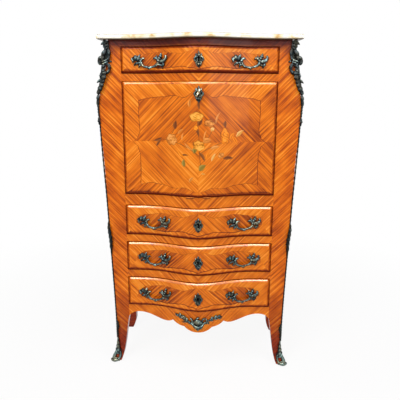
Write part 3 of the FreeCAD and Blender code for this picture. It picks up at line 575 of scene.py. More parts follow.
def ruledLeaf(inner, outer, slope, seed, tone=0.0, footShaded=False):  # ruled between two (x, z) lines
    dark, clear, jointTone = frontLook["joint"]
    t = np.append([0, dark], np.linspace(clear, 1, frontLook["leafRows"]))[:, None, None]
    flat = inner[None] * (1 - t) + outer[None] * t
    shade = np.where(t[..., 0] <= dark, jointTone, 0.0)
    # painted shade along the foot of the lowest leaves
    if footShaded:
        shading, power = frontLook["footLeafShade"]
        shade = shade + shading * t[..., 0] ** power
    return layLeaf(flat[..., 0], flat[..., 1], slope, seed, tone + shade)


# The fall: a cusped inner field, quartered, in a frame of eight leaves. Millimetres: x from the
# middle and height over the floor.
fallLook = {
    "midline": 900,
    "topX": [0, 53, 84, 131, 183, 216],
    "topZ": [1086, 1054, 1061, 1057, 1052, 1044],
    "footX": [0, 54, 85, 138, 176, 215],
    "footZ": [720, 737, 733, 744, 749, 742],
    "sideZ": [742, 800, 850, 880, 897, 915, 935, 1000, 1044],
    "sideX": [215, 213, 214, 222, 238, 222, 214, 217, 216],
    "headDrop": 3.5,       # the top edge falls away behind, clear of the rail in the swing
}
fallTones = {
    "frame": {"top": 0.03, "foot": -0.05},
    "side": {-1: 0.0, 1: -0.06},           # left and right
    "field": {"top": -0.065, "foot": 0.005},
    "fieldSide": {-1: 0.01, 1: -0.01},
}


def fallLeaves(box):
    look = {key: np.array(value) * mm for key, value in fallLook.items()}
    tones = fallTones
    low, high = box
    outerX = high.x - frontLook["round"]
    steps = np.linspace(0, 1, frontLook["leafColumns"]["fall"])
    flat = np.ones_like(steps)
    middle = look["midline"]
    leaves = []
    seed = 1
    for side in (-1, 1):
        for part, up in (("top", 1), ("foot", -1)):
            outerZ = high.z - frontLook["round"] if up > 0 else low.z + frontLook["round"]
            reach = look[part + "X"][-1]
            z = smoothLine(look[part + "X"], look[part + "Z"], steps * reach)
            rim = np.stack([side * steps * reach, z], 1)
            outer = np.stack([side * steps * outerX, outerZ * flat], 1)
            leaves.append(ruledLeaf(rim, outer, 45 * side * up, seed, tones["frame"][part], up < 0))
            sideZ = middle + steps * (look[part + "Z"][-1] - middle)
            sideX = smoothLine(look["sideZ"], look["sideX"], sideZ)
            rimSide = np.stack([side * sideX, sideZ], 1)
            outerSide = np.stack([side * outerX * flat, middle + steps * (outerZ - middle)], 1)
            leaves.append(ruledLeaf(rimSide, outerSide, 45 * side * up, seed + 1, tones["side"][side]))
            fieldZ = middle + steps[None] * (z[:, None] - middle)
            fieldX = side * steps[:, None] * smoothLine(look["sideZ"], look["sideX"], fieldZ)
            tone = tones["field"][part] + tones["fieldSide"][side]
            leaves.append(layLeaf(fieldX, fieldZ, -45 * side * up, seed + 2, tone))
            seed += 3
    return leaves


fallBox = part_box("fall_panel")
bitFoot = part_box("fall_key")[0].z  # the key's bit turns in the foot of the bolt's way
fallSheets = frontBlock(fallBox, "fall", fallLook["headDrop"] * mm, wayFoot=bitFoot) + fallLeaves(fallBox)
fallWoods = [tulipLeaf, oakMaterial, tulipWorn, tulipShaded]
buildPiece("fall_front", fallSheets, fallWoods, "fall", ["fall_panel"], True)
print("fall front laid with veneer")


# Drawer fronts: a V-grained frame round a cusped reserve that darkens behind the handles.
drawerLook = {
    "reserveX": [0, 24, 60, 88, 128, 200, 236],
    "reserveTop": [0.36, 0.30, 0.20, 0.23, 0.28, 0.21, 0.03],     # shares of the front's height
    "reserveFoot": [-0.40, -0.34, -0.27, -0.30, -0.34, -0.24, -0.06],
    "lobe": (70, 120),     # where the darker wood begins and is full
    "lobeTone": -0.05,
    "fieldTone": -0.05,
    "frameTone": 0.03,
    "seeds": (20, 12),     # the top drawer's, and the step to the next drawer's
}


def drawerLeaves(box, seed):
    look = drawerLook
    low, high = box
    inset = frontLook["round"]
    outerX = high.x - inset
    height = high.z - low.z
    middle = 0.5 * (low.z + high.z)
    places = np.array(look["reserveX"]) * mm
    steps = np.linspace(0, 1, frontLook["leafColumns"]["drawer"])
    x = steps * places[-1]
    fieldTone = look["fieldTone"] + np.interp(x / mm, look["lobe"], (0, look["lobeTone"]))[None]
    leaves = []
    for side in (-1, 1):
        rims = {}
        for part, outerZ in (("Top", high.z - inset), ("Foot", low.z + inset)):
            z = middle + height * smoothLine(places, look["reserve" + part], x)
            rims[part] = np.stack([side * x, z], 1)
            outer = np.stack([side * steps * outerX, np.full_like(x, outerZ)], 1)
            footShaded = part == "Foot"
            leaves.append(ruledLeaf(rims[part], outer, 45 * side, seed, look["frameTone"], footShaded))
            seed += 1
        endRim = np.stack([rims["Foot"][-1], rims["Top"][-1]])
        endOuter = np.array([[side * outerX, low.z + inset], [side * outerX, high.z - inset]])
        leaves.append(ruledLeaf(endRim, endOuter, 45 * side, seed))
        leaves.append(ruledLeaf(rims["Foot"], rims["Top"], -45 * side, seed + 1, fieldTone))
        seed += 2
    return leaves


frontWoods = [tulipLeaf, oakMaterial, tulipEdge, tulipShaded]
seed = drawerLook["seeds"][0]
for name in drawerNames:
    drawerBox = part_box(name + "_front")
    underSlab = name == "top_drawer"  # its upper edge lies in the marble's shade
    drawerSheets = frontBlock(drawerBox, name, lit=not underSlab) + drawerLeaves(drawerBox, seed)
    buildPiece(name + "_veneered_front", drawerSheets, frontWoods, name,
               [name + "_front"], True)
    seed += drawerLook["seeds"][1]
print("drawer fronts laid with veneer")


# The fall's marquetry: roses, buds, leaves and stems. Millimetres: x and height over the floor.
bouquetLook = {
    "roses": [  # x, z, half width, half height, petals, wood
        (-8, 990, 24, 18, 5, "ochre"), (-97, 909, 19, 22, 6, "tan"), (1, 890, 21, 19, 6, "ochre"),
        (93, 922, 17, 29, 5, "orange"), (-10, 951, 9, 9, 5, "orange"), (80, 854, 11, 10, 5, "tan"),
        (48, 947, 7, 8, 5, "pale"), (38, 968, 18, 14, 5, "tan")],
    "leaves": [  # x, z, length, width, angle, wood
        (-82, 961, 32, 15, 82, "brown"), (-150, 909, 34, 10, 200, "brown"),
        (-146, 894, 28, 9, 52, "brown"), (-52, 827, 28, 14, 92, "green"),
        (-11, 875, 28, 16, 70, "green"), (14, 811, 32, 20, 42, "green"),
        (106, 842, 38, 13, 0, "brown"), (147, 930, 36, 14, 42, "pale"), (30, 906, 30, 20, 15, "tan"),
        (58, 881, 34, 13, 15, "tan"), (-6, 938, 40, 11, -70, "brown"), (12, 850, 40, 11, -58, "brown"),
        (94, 965, 24, 12, 84, "brown"), (-50, 854, 28, 6, 4, "brown"), (128, 905, 36, 11, -60, "orange"),
        (120, 922, 28, 11, 60, "orange"), (-56, 921, 28, 6, 80, "tan"), (17, 788, 15, 6, -10, "pale"),
        (34, 854, 28, 11, 70, "orange"), (54, 848, 32, 9, 62, "pale"), (-34, 886, 42, 8, 140, "tan"),
        (-64, 938, 28, 8, 40, "tan"), (-26, 767, 26, 10, 50, "tan"), (24, 924, 42, 5, 78, "tan"),
        (-64, 861, 30, 10, 130, "orange"), (3, 1034, 40, 9, 88, "brown"), (-30, 1037, 30, 12, 80, "tan"),
        (68, 986, 44, 7, 70, "tan"), (7, 971, 28, 15, 60, "brown")],
    "stems": [  # points along each stem
        [(10, 800), (4, 852), (2, 909), (-4, 972)], [(4, 852), (-40, 882), (-84, 901)],
        [(4, 861), (40, 882), (82, 899)], [(-97, 928), (-88, 944), (-82, 951)],
        [(48, 944), (38, 923), (20, 899)], [(-116, 907), (-132, 909), (-146, 905)],
        [(94, 947), (95, 955), (94, 961)]],
    "stemHalf": 0.9,
    "stemGrain": 70,
    "stemTone": -0.05,
    "seeds": {"stems": 200, "leaves": 220, "roses": 260},
    "lift": {"stems": 0.12 * mm, "leaves": 0.2 * mm, "roses": 0.3 * mm},  # each lies over the one before
}
roseLook = {
    "edge": (0.84, 0.2, 0.07),  # shares of the half size: mean, swing of the petals, lopsidedness
    "whorls": (11, 1.5),        # radians that the inner petals wind from middle to rim, and their wave
    "tone": 0.1,
    "whorlTone": -0.5,
    "rimTone": (-0.4, 10),      # and a power of the way out
    "grain": 30,
}
leafLook = {
    "tip": 0.25,                # the points are cut this blunt
    "belly": 0.85,              # under 1 the widest place lies nearer the root
    "notches": (9, 0.12),
    "bend": 0.08,
    "sandTone": 0.1,
    "rib": (0.16, -0.22),       # breadth and tone
}


def roseSheet(x, z, wide, tall, petals, seed, slot):
    # polar grid: the edge swings in and out once a petal, with a dark rim and dark inner whorls
    look = roseLook
    share = np.linspace(0, 1, 26)[:, None]
    angle = np.linspace(0, 2 * np.pi, 61)[None]
    petal = 0.5 * petals * angle + seed
    oval = 2 * angle + seed
    mean, swing, lopside = look["edge"]
    edge = mean + swing * np.abs(np.cos(petal)) - lopside * np.cos(oval)
    flatX = (x + share * wide * edge * np.cos(angle)) * mm
    flatZ = (z + share * tall * edge * np.sin(angle)) * mm
    turns, wave = look["whorls"]
    whorl = np.clip(np.cos(turns * share + wave * np.sin(petal) + angle) - 0.5, 0, 1)
    rim, power = look["rimTone"]
    tone = look["tone"] * (1 + np.sin(oval)) + look["whorlTone"] * whorl + rim * share ** power
    lift = bouquetLook["lift"]["roses"]
    return layLeaf(flatX, flatZ, look["grain"] * petals, seed, tone, slot, lift, True)


def leafSheet(x, z, length, width, angle, seed, slot):
    # a pointed oval about a bent midrib: half width is a sine of the way along, notched, and the tone
    # runs from side to side with a dark rib
    look = leafLook
    along = np.linspace(0, 1, 24)[:, None]
    across = np.linspace(-1, 1, 11)[None]
    notches, cut = look["notches"]
    notched = 1 - cut * np.abs(np.sin(notches * along))
    half = look["tip"] + 0.5 * width * np.sin(np.pi * along ** look["belly"]) * notched
    lengthwise = length * (along - 0.5)
    sidewise = half * across + look["bend"] * length * np.sin(np.pi * along)
    turn = math.radians(angle)
    flatX = (x + lengthwise * math.cos(turn) - sidewise * math.sin(turn)) * mm
    flatZ = (z + lengthwise * math.sin(turn) + sidewise * math.cos(turn)) * mm
    breadth, ribTone = look["rib"]
    tone = look["sandTone"] * across + ribTone * np.exp(-(across / breadth) ** 2)
    return layLeaf(flatX, flatZ, angle, seed, tone, slot, bouquetLook["lift"]["leaves"])


def splinePath(points, steps):  # Catmull-Rom spline through the points
    points = np.asarray(points, float)
    ends = np.concatenate([2 * points[:1] - points[1:2], points, 2 * points[-1:] - points[-2:-1]])
    t = np.linspace(0, len(points) - 1, steps)
    i = np.clip(t.astype(int), 0, len(points) - 2)
    f = (t - i)[:, None]
    a, b, c, d = ends[i], ends[i + 1], ends[i + 2], ends[i + 3]
    square = (2 * a - 5 * b + 4 * c - d) * f ** 2
    cube = (3 * b - a - 3 * c + d) * f ** 3
    return 0.5 * (2 * b + (c - a) * f + square + cube)


def stemSheet(points, seed, slot):  # a ribbon of even width along a spline
    look = bouquetLook
    path = splinePath(points, 30)
    run = np.gradient(path, axis=0)
    side = np.stack([-run[:, 1], run[:, 0]], 1) / np.linalg.norm(run, axis=1)[:, None]
    spread = look["stemHalf"] * np.linspace(-1, 1, 3)[None, :, None]
    flat = (path[:, None] + spread * side[:, None]) * mm
    lift = look["lift"]["stems"]
    return layLeaf(flat[..., 0], flat[..., 1], look["stemGrain"], seed, look["stemTone"], slot, lift)


def bouquet():
    look = bouquetLook
    woods = list(inlayWoods)
    sheets = []
    for seed, points in enumerate(look["stems"], look["seeds"]["stems"]):
        sheets.append(stemSheet(points, seed, woods.index("brown")))
    for seed, (*shape, wood) in enumerate(look["leaves"], look["seeds"]["leaves"]):
        sheets.append(leafSheet(*shape, seed, woods.index(wood)))
    for seed, (*shape, wood) in enumerate(look["roses"], look["seeds"]["roses"]):
        sheets.append(roseSheet(*shape, seed, woods.index(wood)))
    buildPiece("fall_marquetry", sheets, list(inlayWoods.values()), "fall", (), True)


bouquet()
print("marquetry let into the fall")


# Bronze castings: each stroke is an oval bar carried along a spline, swelling in lobes like a leaf.
castingLook = {
    "steps": 44,
    "around": 14,
    "lobeCut": 0.34,
    "veinCut": 0.5,
    "veinSlant": 2.6,      # how far the veins sweep back towards the edges
    "veinEdge": 0.7,       # a power: under 1 they bite in near the crown
    "round": 0.1,          # share of the half length that an end rounds over
    "spine": 0.45,         # share of the thickness that stays where the bar narrows
    "crownTone": 0.55,
    "shine": 0.12,
}


def bar(line, wide, thick, **more):
    # a stroke: its points, the half widths along it, its half thickness, and lobes, steps or a twin
    return {"line": line, "wide": wide, "thick": thick, **more}


def casting(stroke, place, out, shine=castingLook["shine"]):
    # place turns a stroke's millimetres into the frame; the section is half-width times cosine across
    # and thickness times sine outwards, the crown cut by slanting veins where the stroke has lobes
    look = castingLook
    steps = stroke.get("steps", look["steps"])
    share = np.linspace(0, 1, steps)
    path = splinePath(place(np.array(stroke["line"], float)), steps)
    wide = np.array(stroke["wide"], float)
    half = np.interp(share, np.linspace(0, 1, len(wide)), wide)
    ending = np.clip((np.abs(2 * share - 1) - (1 - look["round"])) / look["round"], 0, 1)
    ends = np.sqrt(1 - ending ** 2)
    lobes = stroke.get("lobes", 0)
    if lobes:
        half = half * (1 - look["lobeCut"] + look["lobeCut"] * np.abs(np.sin(np.pi * lobes * share)))
    thick = stroke["thick"] * (look["spine"] + (1 - look["spine"]) * half / half.max())
    out = np.broadcast_to(np.asarray(out, float), path.shape)
    run = np.gradient(path, axis=0)
    run = run / np.linalg.norm(run, axis=1)[:, None]
    side = np.cross(out, run)
    side = side / np.linalg.norm(side, axis=1)[:, None]
    crown = np.cross(run, side)
    turn = np.linspace(0, 2 * np.pi, look["around"], endpoint=False)
    reach = np.abs(np.cos(turn))[None]
    veins = np.ones((steps, look["around"]))
    if lobes:
        wave = 0.5 + 0.5 * np.cos(2 * np.pi * lobes * share[:, None] - look["veinSlant"] * reach)
        veins = 1 - look["veinCut"] * wave * reach ** look["veinEdge"]
    across = (half * ends)[:, None] * np.cos(turn)[None] * mm
    height = (thick * ends)[:, None] * np.sin(turn)[None] * veins * mm
    points = path[:, None] + across[..., None] * side[:, None] + height[..., None] * crown[:, None]
    tone = look["crownTone"] * np.clip(np.sin(turn), 0, 1)[None] * veins ** 2 + shine
    return sheet(points, None, tone, 0, (False, True))


def castings(strokes, place, out, shine=castingLook["shine"]):
    # all strokes of a mount; a twin is also laid mirrored
    sheets = []
    for stroke in strokes:
        sheets.append(casting(stroke, place, out, shine))
        if stroke.get("twin"):
            flipped = dict(stroke, line=[(-u, v, w) for u, v, w in stroke["line"]])
            sheets.append(casting(flipped, place, out, shine))
    return sheets


def onFront(x, z):  # a place on a front: right, up and out from (x, z), in millimetres
    def place(line):
        across = x + line[:, 0] * mm
        depth = serpentine(across) - plan["proud"] - line[:, 2] * mm
        return np.stack([across, depth, z + line[:, 1] * mm], 1)
    return place


# Drawer pulls: a bowed grip between two sprays of leaves, the same way round on both sides.
pullLook = {
    "x": {"top_drawer": 175, "upper_drawer": 169, "middle_drawer": 169, "lower_drawer": 169},
    "drop": {"top_drawer": 11, "upper_drawer": 8, "middle_drawer": 9, "lower_drawer": 9},
    "strokes": [
        # grip
        bar([(-15, 12, 8), (-21, 15, 9), (-28, 9, 10), (-27, -2, 11), (-18, -12, 13), (0, -15, 14),
             (16, -13, 13), (28, -7, 12), (33, 3, 10), (29, 12, 9), (21, 16, 9), (15, 11, 8)],
            [2.9, 3.8, 4.6, 4.8, 4.1, 3.5, 3.7, 4.6, 5.3, 4.6, 3.8, 3.1], 3.4),
        bar([(-7, -13.5, 14), (-2, -16, 15), (3, -17.5, 15), (8, -15, 14)], [0.8, 4.8, 5.3, 0.8], 4.4),
        # left spray
        bar([(-24, 6, 5), (-36, 13, 6), (-50, 16, 6), (-62, 10, 3)],
            [4.8, 10.1, 10.8, 4.8], 4.5, lobes=4),
        bar([(-44, 14, 6), (-36, 21, 6), (-32, 29, 3)], [4.8, 5.3, 0.7], 3.4),
        bar([(-63, 16, 4), (-58, 6, 5), (-60, 0, 3)], [2.4, 4.8, 0.8], 3.2),
        bar([(-27, -1, 7), (-38, 0, 6), (-49, -3, 5), (-55, -10, 3)], [3.6, 5.3, 5, 0.8], 3.4, lobes=3),
        bar([(-27, -3, 9), (-34, -9, 7), (-38, -17, 3)], [3.6, 4.6, 0.8], 3.4),
        # right spray
        bar([(32, 3, 9), (36, 13, 8), (41, 22, 7), (44, 33, 3)], [4.8, 8.2, 7.2, 0.8], 4.6, lobes=4),
        bar([(31, 6, 8), (28, 16, 7), (26, 26, 3)], [4.8, 6.2, 0.9], 3.8, lobes=3),
        bar([(31, 2, 7), (41, 4, 8), (52, 7, 8), (59, 13, 7), (60, 21, 6), (55, 22, 6)],
            [3.6, 6.2, 6.5, 5, 3.6, 1.8], 4.0),
        bar([(47, 7, 7), (51, -2, 7), (49, -10, 6), (44, -19, 3)], [3.6, 5.5, 5.5, 0.8], 3.4, lobes=3),
        bar([(30, -6, 14), (39, -7, 9), (48, -10, 6)], [3.1, 3.1, 2.6], 2.6),
    ],
    "stems": [bar([(u, 4, -1), (u, 4, 6), (u, 4, 14)], [6, 4.2, 4], 5) for u in (-30, 33)],
    "shine": 0.07,
}


def pull(x, z):
    look = pullLook
    place = onFront(x, z)
    sheets = castings(look["strokes"], place, (0, -1, 0), look["shine"])
    return sheets + castings(look["stems"], place, (0, 0, 1))


for name in drawerNames:
    low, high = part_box(name + "_front")
    pullZ = 0.5 * (low.z + high.z) - pullLook["drop"][name] * mm
    pullSheets = [one for side in (-1, 1) for one in pull(side * pullLook["x"][name] * mm, pullZ)]
    buildPiece(name + "_cast_pulls", pullSheets, [bronzeMaterial], name, [name + "_handles"])
print("pulls cast")


# Keyhole plates: a pointed cartouche of C-scrolls and leaves round a collared keyhole.
plateLook = {
    "strokes": [
        bar([(0, 22, 0.5), (0, 8, 1), (0, -8, 1), (0, -24, 0.5)], [2, 11, 11, 2], 2.6),
        bar([(0, 8, 3), (0, 16, 5), (0, 28, 1)], [8, 7, 0.8], 4.4, lobes=2),
        bar([(-5, 12, 3), (-10, 8, 4), (-15, 1, 4), (-12, -6, 4), (-8, -2, 4)],
            [1.6, 3.0, 3.2, 3.0, 1.6], 3.4, twin=True),
        bar([(-6, -7, 3), (-9, -11, 4), (-7, -17, 4), (-3, -14, 4)],
            [1.6, 2.8, 2.6, 1.4], 3.4, twin=True),
        bar([(0, -12, 3), (0, -20, 4.5), (0, -29, 1)], [5, 5.4, 0.8], 3.8, lobes=2),
        bar([(-5, 9, 3), (-9, 14, 4), (-8, 20, 1)], [2.6, 3.2, 0.8], 3, twin=True),
        bar([(-7, -13, 3), (-6, -19, 3), (-3, -25, 1)], [2.6, 3, 0.8], 3, twin=True),
    ],
    "lift": {"top_drawer": -1, "upper_drawer": 5, "middle_drawer": 7, "lower_drawer": 9, "fall": 0},
    "hole": (5.6, 3.2, 12),    # radius, half the slot's width, drop
    "holeLift": 3.5,
    "holeStand": 7.2,          # how far the dark of the hole lies before the front
    "holeThick": 1.0,
    "neck": (0.35, 0.25),      # sine of the angle where the slot leaves the round, and its easing
    "collar": (1.16, 1.4, 1.3, 1.6),  # times the hole's size, how far behind, half width, half thickness
    "shine": 0.04,
}


plateMetals = [bronzeMaterial, holeShadeMaterial]


def keyholeSheets(place):  # a polar patch with the keyhole's outline, painted black for the hole's shade, and a collar carried round it
    look = plateLook
    radius, half, drop = look["hole"]
    neck, ease = look["neck"]
    angle = np.linspace(0, 2 * np.pi, 49)
    slotShare = np.clip((-np.sin(angle) - neck) / ease, 0, 1)
    x = radius * np.cos(angle)
    x = np.where(slotShare > 0, np.clip(x, -half, half), x)
    z = radius * np.sin(angle) - (drop - radius) * slotShare + look["holeLift"]
    rim = np.stack([x, z, np.full_like(x, look["holeStand"])], 1)
    middle = np.broadcast_to([0, look["holeLift"] - 0.3 * drop, look["holeStand"]], rim.shape)
    patch = sheet(np.stack([place(middle), place(rim)]), None, 0.0, plateMetals.index(holeShadeMaterial))
    size, behind, wide, thick = look["collar"]
    path = (rim[::3] - middle[::3]) * size + middle[::3] - [0, 0, behind]
    collar = casting(bar(path, [wide], thick), place, (0, -1, 0), look["shine"])
    return [thicken(patch, look["holeThick"] * mm, True), collar]


def keyholePlate(name, body, node):
    low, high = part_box(node)
    place = onFront(0.0, 0.5 * (low.z + high.z) + plateLook["lift"][body] * mm)
    sheets = castings(plateLook["strokes"], place, (0, -1, 0), plateLook["shine"]) + keyholeSheets(place)
    buildPiece(name, sheets, plateMetals, body, [node])


for name in drawerNames:
    keyholePlate(name + "_cast_plate", name, name + "_escutcheon")
keyholePlate("fall_cast_plate", "fall", "fall_escutcheon")
print("keyhole plates cast")


# The fall's key: a turned shank with a collar, a pierced bow of three rings, and the bit in the lock.
keyLook = {
    "lean": math.radians(28),  # how far the bow stands from upright
    "bowReach": 30,
    "bowHalf": 13,             # the bow's half height in the frame's own key
    "shank": 3.0,
    "collar": bar([(0, -3, 0), (0, 0, 0), (0, 3, 0)], [2, 5, 2], 5),
    "rings": [(0, 8, 6.4, 5.2), (7, 17, 5.4, 4.6), (-7, 17, 5.4, 4.6)],  # across, along, half sizes
    "ringBar": (2.3, 2.9),
    "bit": (9, 2.2, 1.4, 3.2),  # reach, half breadth and thickness, how far before the shank's tail
}


def fallKey():
    look = keyLook
    low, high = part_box("fall_key")
    root = np.array([0, low.y + look["bowReach"] * mm, high.z - look["bowHalf"] * mm])
    across = np.array([math.sin(look["lean"]), 0, math.cos(look["lean"])])
    along = np.array([0, -1, 0])
    face = np.cross(across, along)

    def place(line):  # across the bow, along the shank towards the hand, out of the bow's plane
        return root + line @ np.stack([across, along, face]) * mm

    tail = (high.y - root[1]) / mm
    shank = bar([(0, -tail, 0), (0, -0.5 * tail, 0), (0, 3, 0)], [look["shank"]], look["shank"])
    reach, breadth, thick, before = look["bit"]
    bit = bar([(-share * reach, before - tail, 0) for share in (0, 0.6, 1)], [breadth], thick)
    strokes = [shank, look["collar"], bit]
    turn = np.linspace(0, 2 * np.pi, 15)
    for u, v, wide, tall in look["rings"]:
        ring = np.stack([u + wide * np.cos(turn), v + tall * np.sin(turn), 0 * turn], 1)
        strokes.append(bar(ring, [look["ringBar"][0]], look["ringBar"][1]))
    return castings(strokes, place, face)


buildPiece("fall_cast_key", fallKey(), [brassPale], "fall_key", ["fall_key"])
print("key cast")


# Outer edge of the posts: height, and reach beyond the ends of the rails.
postEdge = [(0, 71), (45, 55.5), (112, 50.5), (249, 52), (514, 61.5), (700, 69), (905.5, 79.5),
            (1045, 82.5), (1111, 69), (1202, 45.5), (1250, 43.5)]
edgePath = splinePath(postEdge, 240) * mm


def onCorner(side):  # a place by the corner: out from the post's edge, height over the floor, forward
    def place(line):
        height = line[:, 1] * mm
        edge = plan["half"] + np.interp(height, edgePath[:, 0], edgePath[:, 1]) + line[:, 0] * mm
        return np.stack([side * edge, plan["front"] - line[:, 2] * mm, height], 1)
    return place


# Corner mounts: pierced scrolls under the marble, dwindling into a beaded strip; a leaf at the knee.
cornerLook = {
    "strokes": [
        # ground behind the scrolls
        bar([(5, 1249, 1), (6, 1226, 2), (5, 1198, 2), (6, 1172, 2), (7, 1152, 2), (2, 1132, 2),
             (1, 1106, 2), (4, 1060, 1)],
            [12, 12, 14, 13, 9, 13, 12, 6], 2.4),
        bar([(9, 1201, 1), (19, 1186, 2), (11, 1166, 1)], [6, 9, 6], 2.4),
        # head leaf
        bar([(5, 1249, 3), (9, 1240, 5), (8, 1228, 6), (4, 1217, 5)], [12, 14, 12, 9], 8, lobes=4),
        bar([(-2, 1247, 4), (0, 1236, 6), (-2, 1224, 6), (-5, 1212, 5)], [4, 5.5, 5, 4], 5, lobes=3),
        bar([(14, 1243, 4), (19, 1238, 4), (24, 1234, 2)], [4, 4, 0.9], 3.6),
        # upper loop
        bar([(2, 1220, 5), (-5, 1210, 7), (-7, 1197, 8), (-6, 1186, 8), (-1, 1178, 7)],
            [6, 7.4, 8, 7.4, 6], 5.6, lobes=2),
        bar([(6, 1218, 6), (12, 1208, 7), (15, 1197, 8), (14, 1188, 8), (8, 1180, 7)],
            [6.4, 9, 9.6, 8.6, 6.4], 7, lobes=2),
        # ear
        bar([(12, 1194, 7), (20, 1190, 9), (25, 1183, 9), (22, 1174, 8), (14, 1167, 7)],
            [6.4, 8, 7.6, 7, 5.4], 7, lobes=2),
        # bars across
        bar([(-11, 1186, 6), (-2, 1182, 8), (8, 1178, 9), (14, 1174, 8)], [3, 4.4, 4.4, 3], 5),
        bar([(-9, 1177, 6), (0, 1173, 8), (10, 1168, 8)], [3, 4.6, 3.6], 5),
        bar([(-6, 1181, 5), (-14, 1179, 4), (-21, 1177, 2)], [3, 3.2, 0.7], 3),
        # lower loop
        bar([(-2, 1171, 6), (-12, 1166, 7), (-18, 1157, 7), (-18, 1149, 7), (-15, 1142, 7),
             (-8, 1137, 6)],
            [6, 7, 6.8, 6.8, 7, 6], 5.6, lobes=2),
        bar([(10, 1171, 7), (5, 1160, 8), (2, 1150, 8), (3, 1140, 8)], [8.4, 9, 8.4, 9.4], 7, lobes=2),
        # hanging leaves
        bar([(-1, 1147, 7), (-3, 1137, 8), (-3, 1126, 8), (-2, 1113, 7), (1, 1102, 5)],
            [9, 14.5, 15, 14, 10], 8, lobes=3),
        bar([(7, 1142, 9), (8, 1130, 11), (5, 1118, 9)], [3, 5, 2], 4, lobes=3),
        bar([(7, 1116, 6), (12, 1110, 5), (17, 1105, 2)], [4, 4, 0.8], 4),
        bar([(-2, 1108, 6), (-2, 1096, 8), (0, 1086, 7), (3, 1075, 6), (5, 1065, 4)],
            [9, 12.5, 12, 10, 6], 7, lobes=3),
        bar([(2, 1066, 5), (3, 1056, 6), (3, 1046, 6), (4, 1036, 5), (4, 1024, 4)],
            [5, 7.6, 9, 7.4, 4.4], 6, lobes=2),
        bar([(4, 1028, 4), (3, 1016, 4), (3, 1002, 4), (2.5, 986, 3)], [5, 4.4, 4, 3.2], 4.4, lobes=4),
        bar([(3, 986, 3), (4, 972, 5), (3, 956, 3)], [2.6, 7, 2], 5, lobes=3),
        # knee leaf
        bar([(2, 596, 3), (3, 572, 5), (1, 546, 6), (-1, 520, 6), (0, 492, 5), (1, 458, 3)],
            [2, 7.6, 9.6, 10, 8, 1.6], 6.4, lobes=7),
        # leaf on the leg
        bar([(0, 180, 2), (-3, 166, 4), (-4, 152, 4), (-2, 136, 3)], [2, 6.4, 6.4, 2.4], 4.6, lobes=4),
        bar([(-1, 140, 3), (-1, 122, 4), (0, 104, 3)], [3, 6, 4], 4.6, lobes=3),
    ],
    "strip": bar([(2, z, 0.5) for z in (1005, 930, 820, 700, 600, 514, 420, 330, 249, 170, 100)],
                 [3.2], 3.2, lobes=60, steps=360),
    "shine": 0.02,
    "out": (0.6, -0.8, 0),     # which way the crowns look, on the right
}


def cornerMount(side):
    look = cornerLook
    out = (side, 1, 1) * np.array(look["out"])
    return castings(look["strokes"] + [look["strip"]], onCorner(side), out, look["shine"])


for word, side in (("left", -1), ("right", 1)):
    buildPiece(word + "_cast_corner", cornerMount(side), [bronzeMaterial], "carcass",
               [word + "_corner_bronzes"])
print("corner mounts cast")


# Foot mounts: a twisted leaf that opens into a loop and a curled toe, and a thin sole under the leg.
footLook = {
    "strokes": [
        bar([(-2, 104, 2), (-2, 92, 3), (-3, 76, 4), (-4, 60, 5), (-5, 44, 6), (-8, 32, 6)],
            [3, 5, 8, 11, 13, 13], 7, lobes=5),
        bar([(-12, 48, 5), (-18, 36, 6), (-21, 24, 7), (-20, 14, 9), (-15, 8, 12)],
            [4, 5, 5, 5.6, 6], 6),
        bar([(0, 46, 5), (2, 34, 6), (3, 24, 8), (1, 14, 11), (-4, 8, 13)], [5, 6.4, 7.6, 8, 7], 7),
        bar([(-22, 7, 9), (-14, 9, 14), (-4, 9, 16), (5, 9, 12), (9, 8, 5)], [4, 7, 8, 7, 4], 7),
        bar([(-13, 17, 13), (-4, 18, 15), (4, 15, 11)], [2, 3, 2], 3),
    ],
    "sole": bar([(-27, 3, -3), (-15, 3, -3), (-2, 3, -3)], [15, 18, 18], 3),
    "shine": 0.2,              # rubbed brighter than the rest
    "out": (0.35, -0.94, 0),
}


def footMount(side):
    look = footLook
    out = (side, 1, 1) * np.array(look["out"])
    sheets = castings(look["strokes"], onCorner(side), out, look["shine"])
    return sheets + [casting(look["sole"], onCorner(side), (0, 0, 1))]


footSheets = [one for side in (-1, 1) for one in footMount(side)]
buildPiece("cast_foot_mounts", footSheets, [bronzeMaterial], "carcass", ["sabots"])
print("foot mounts cast")


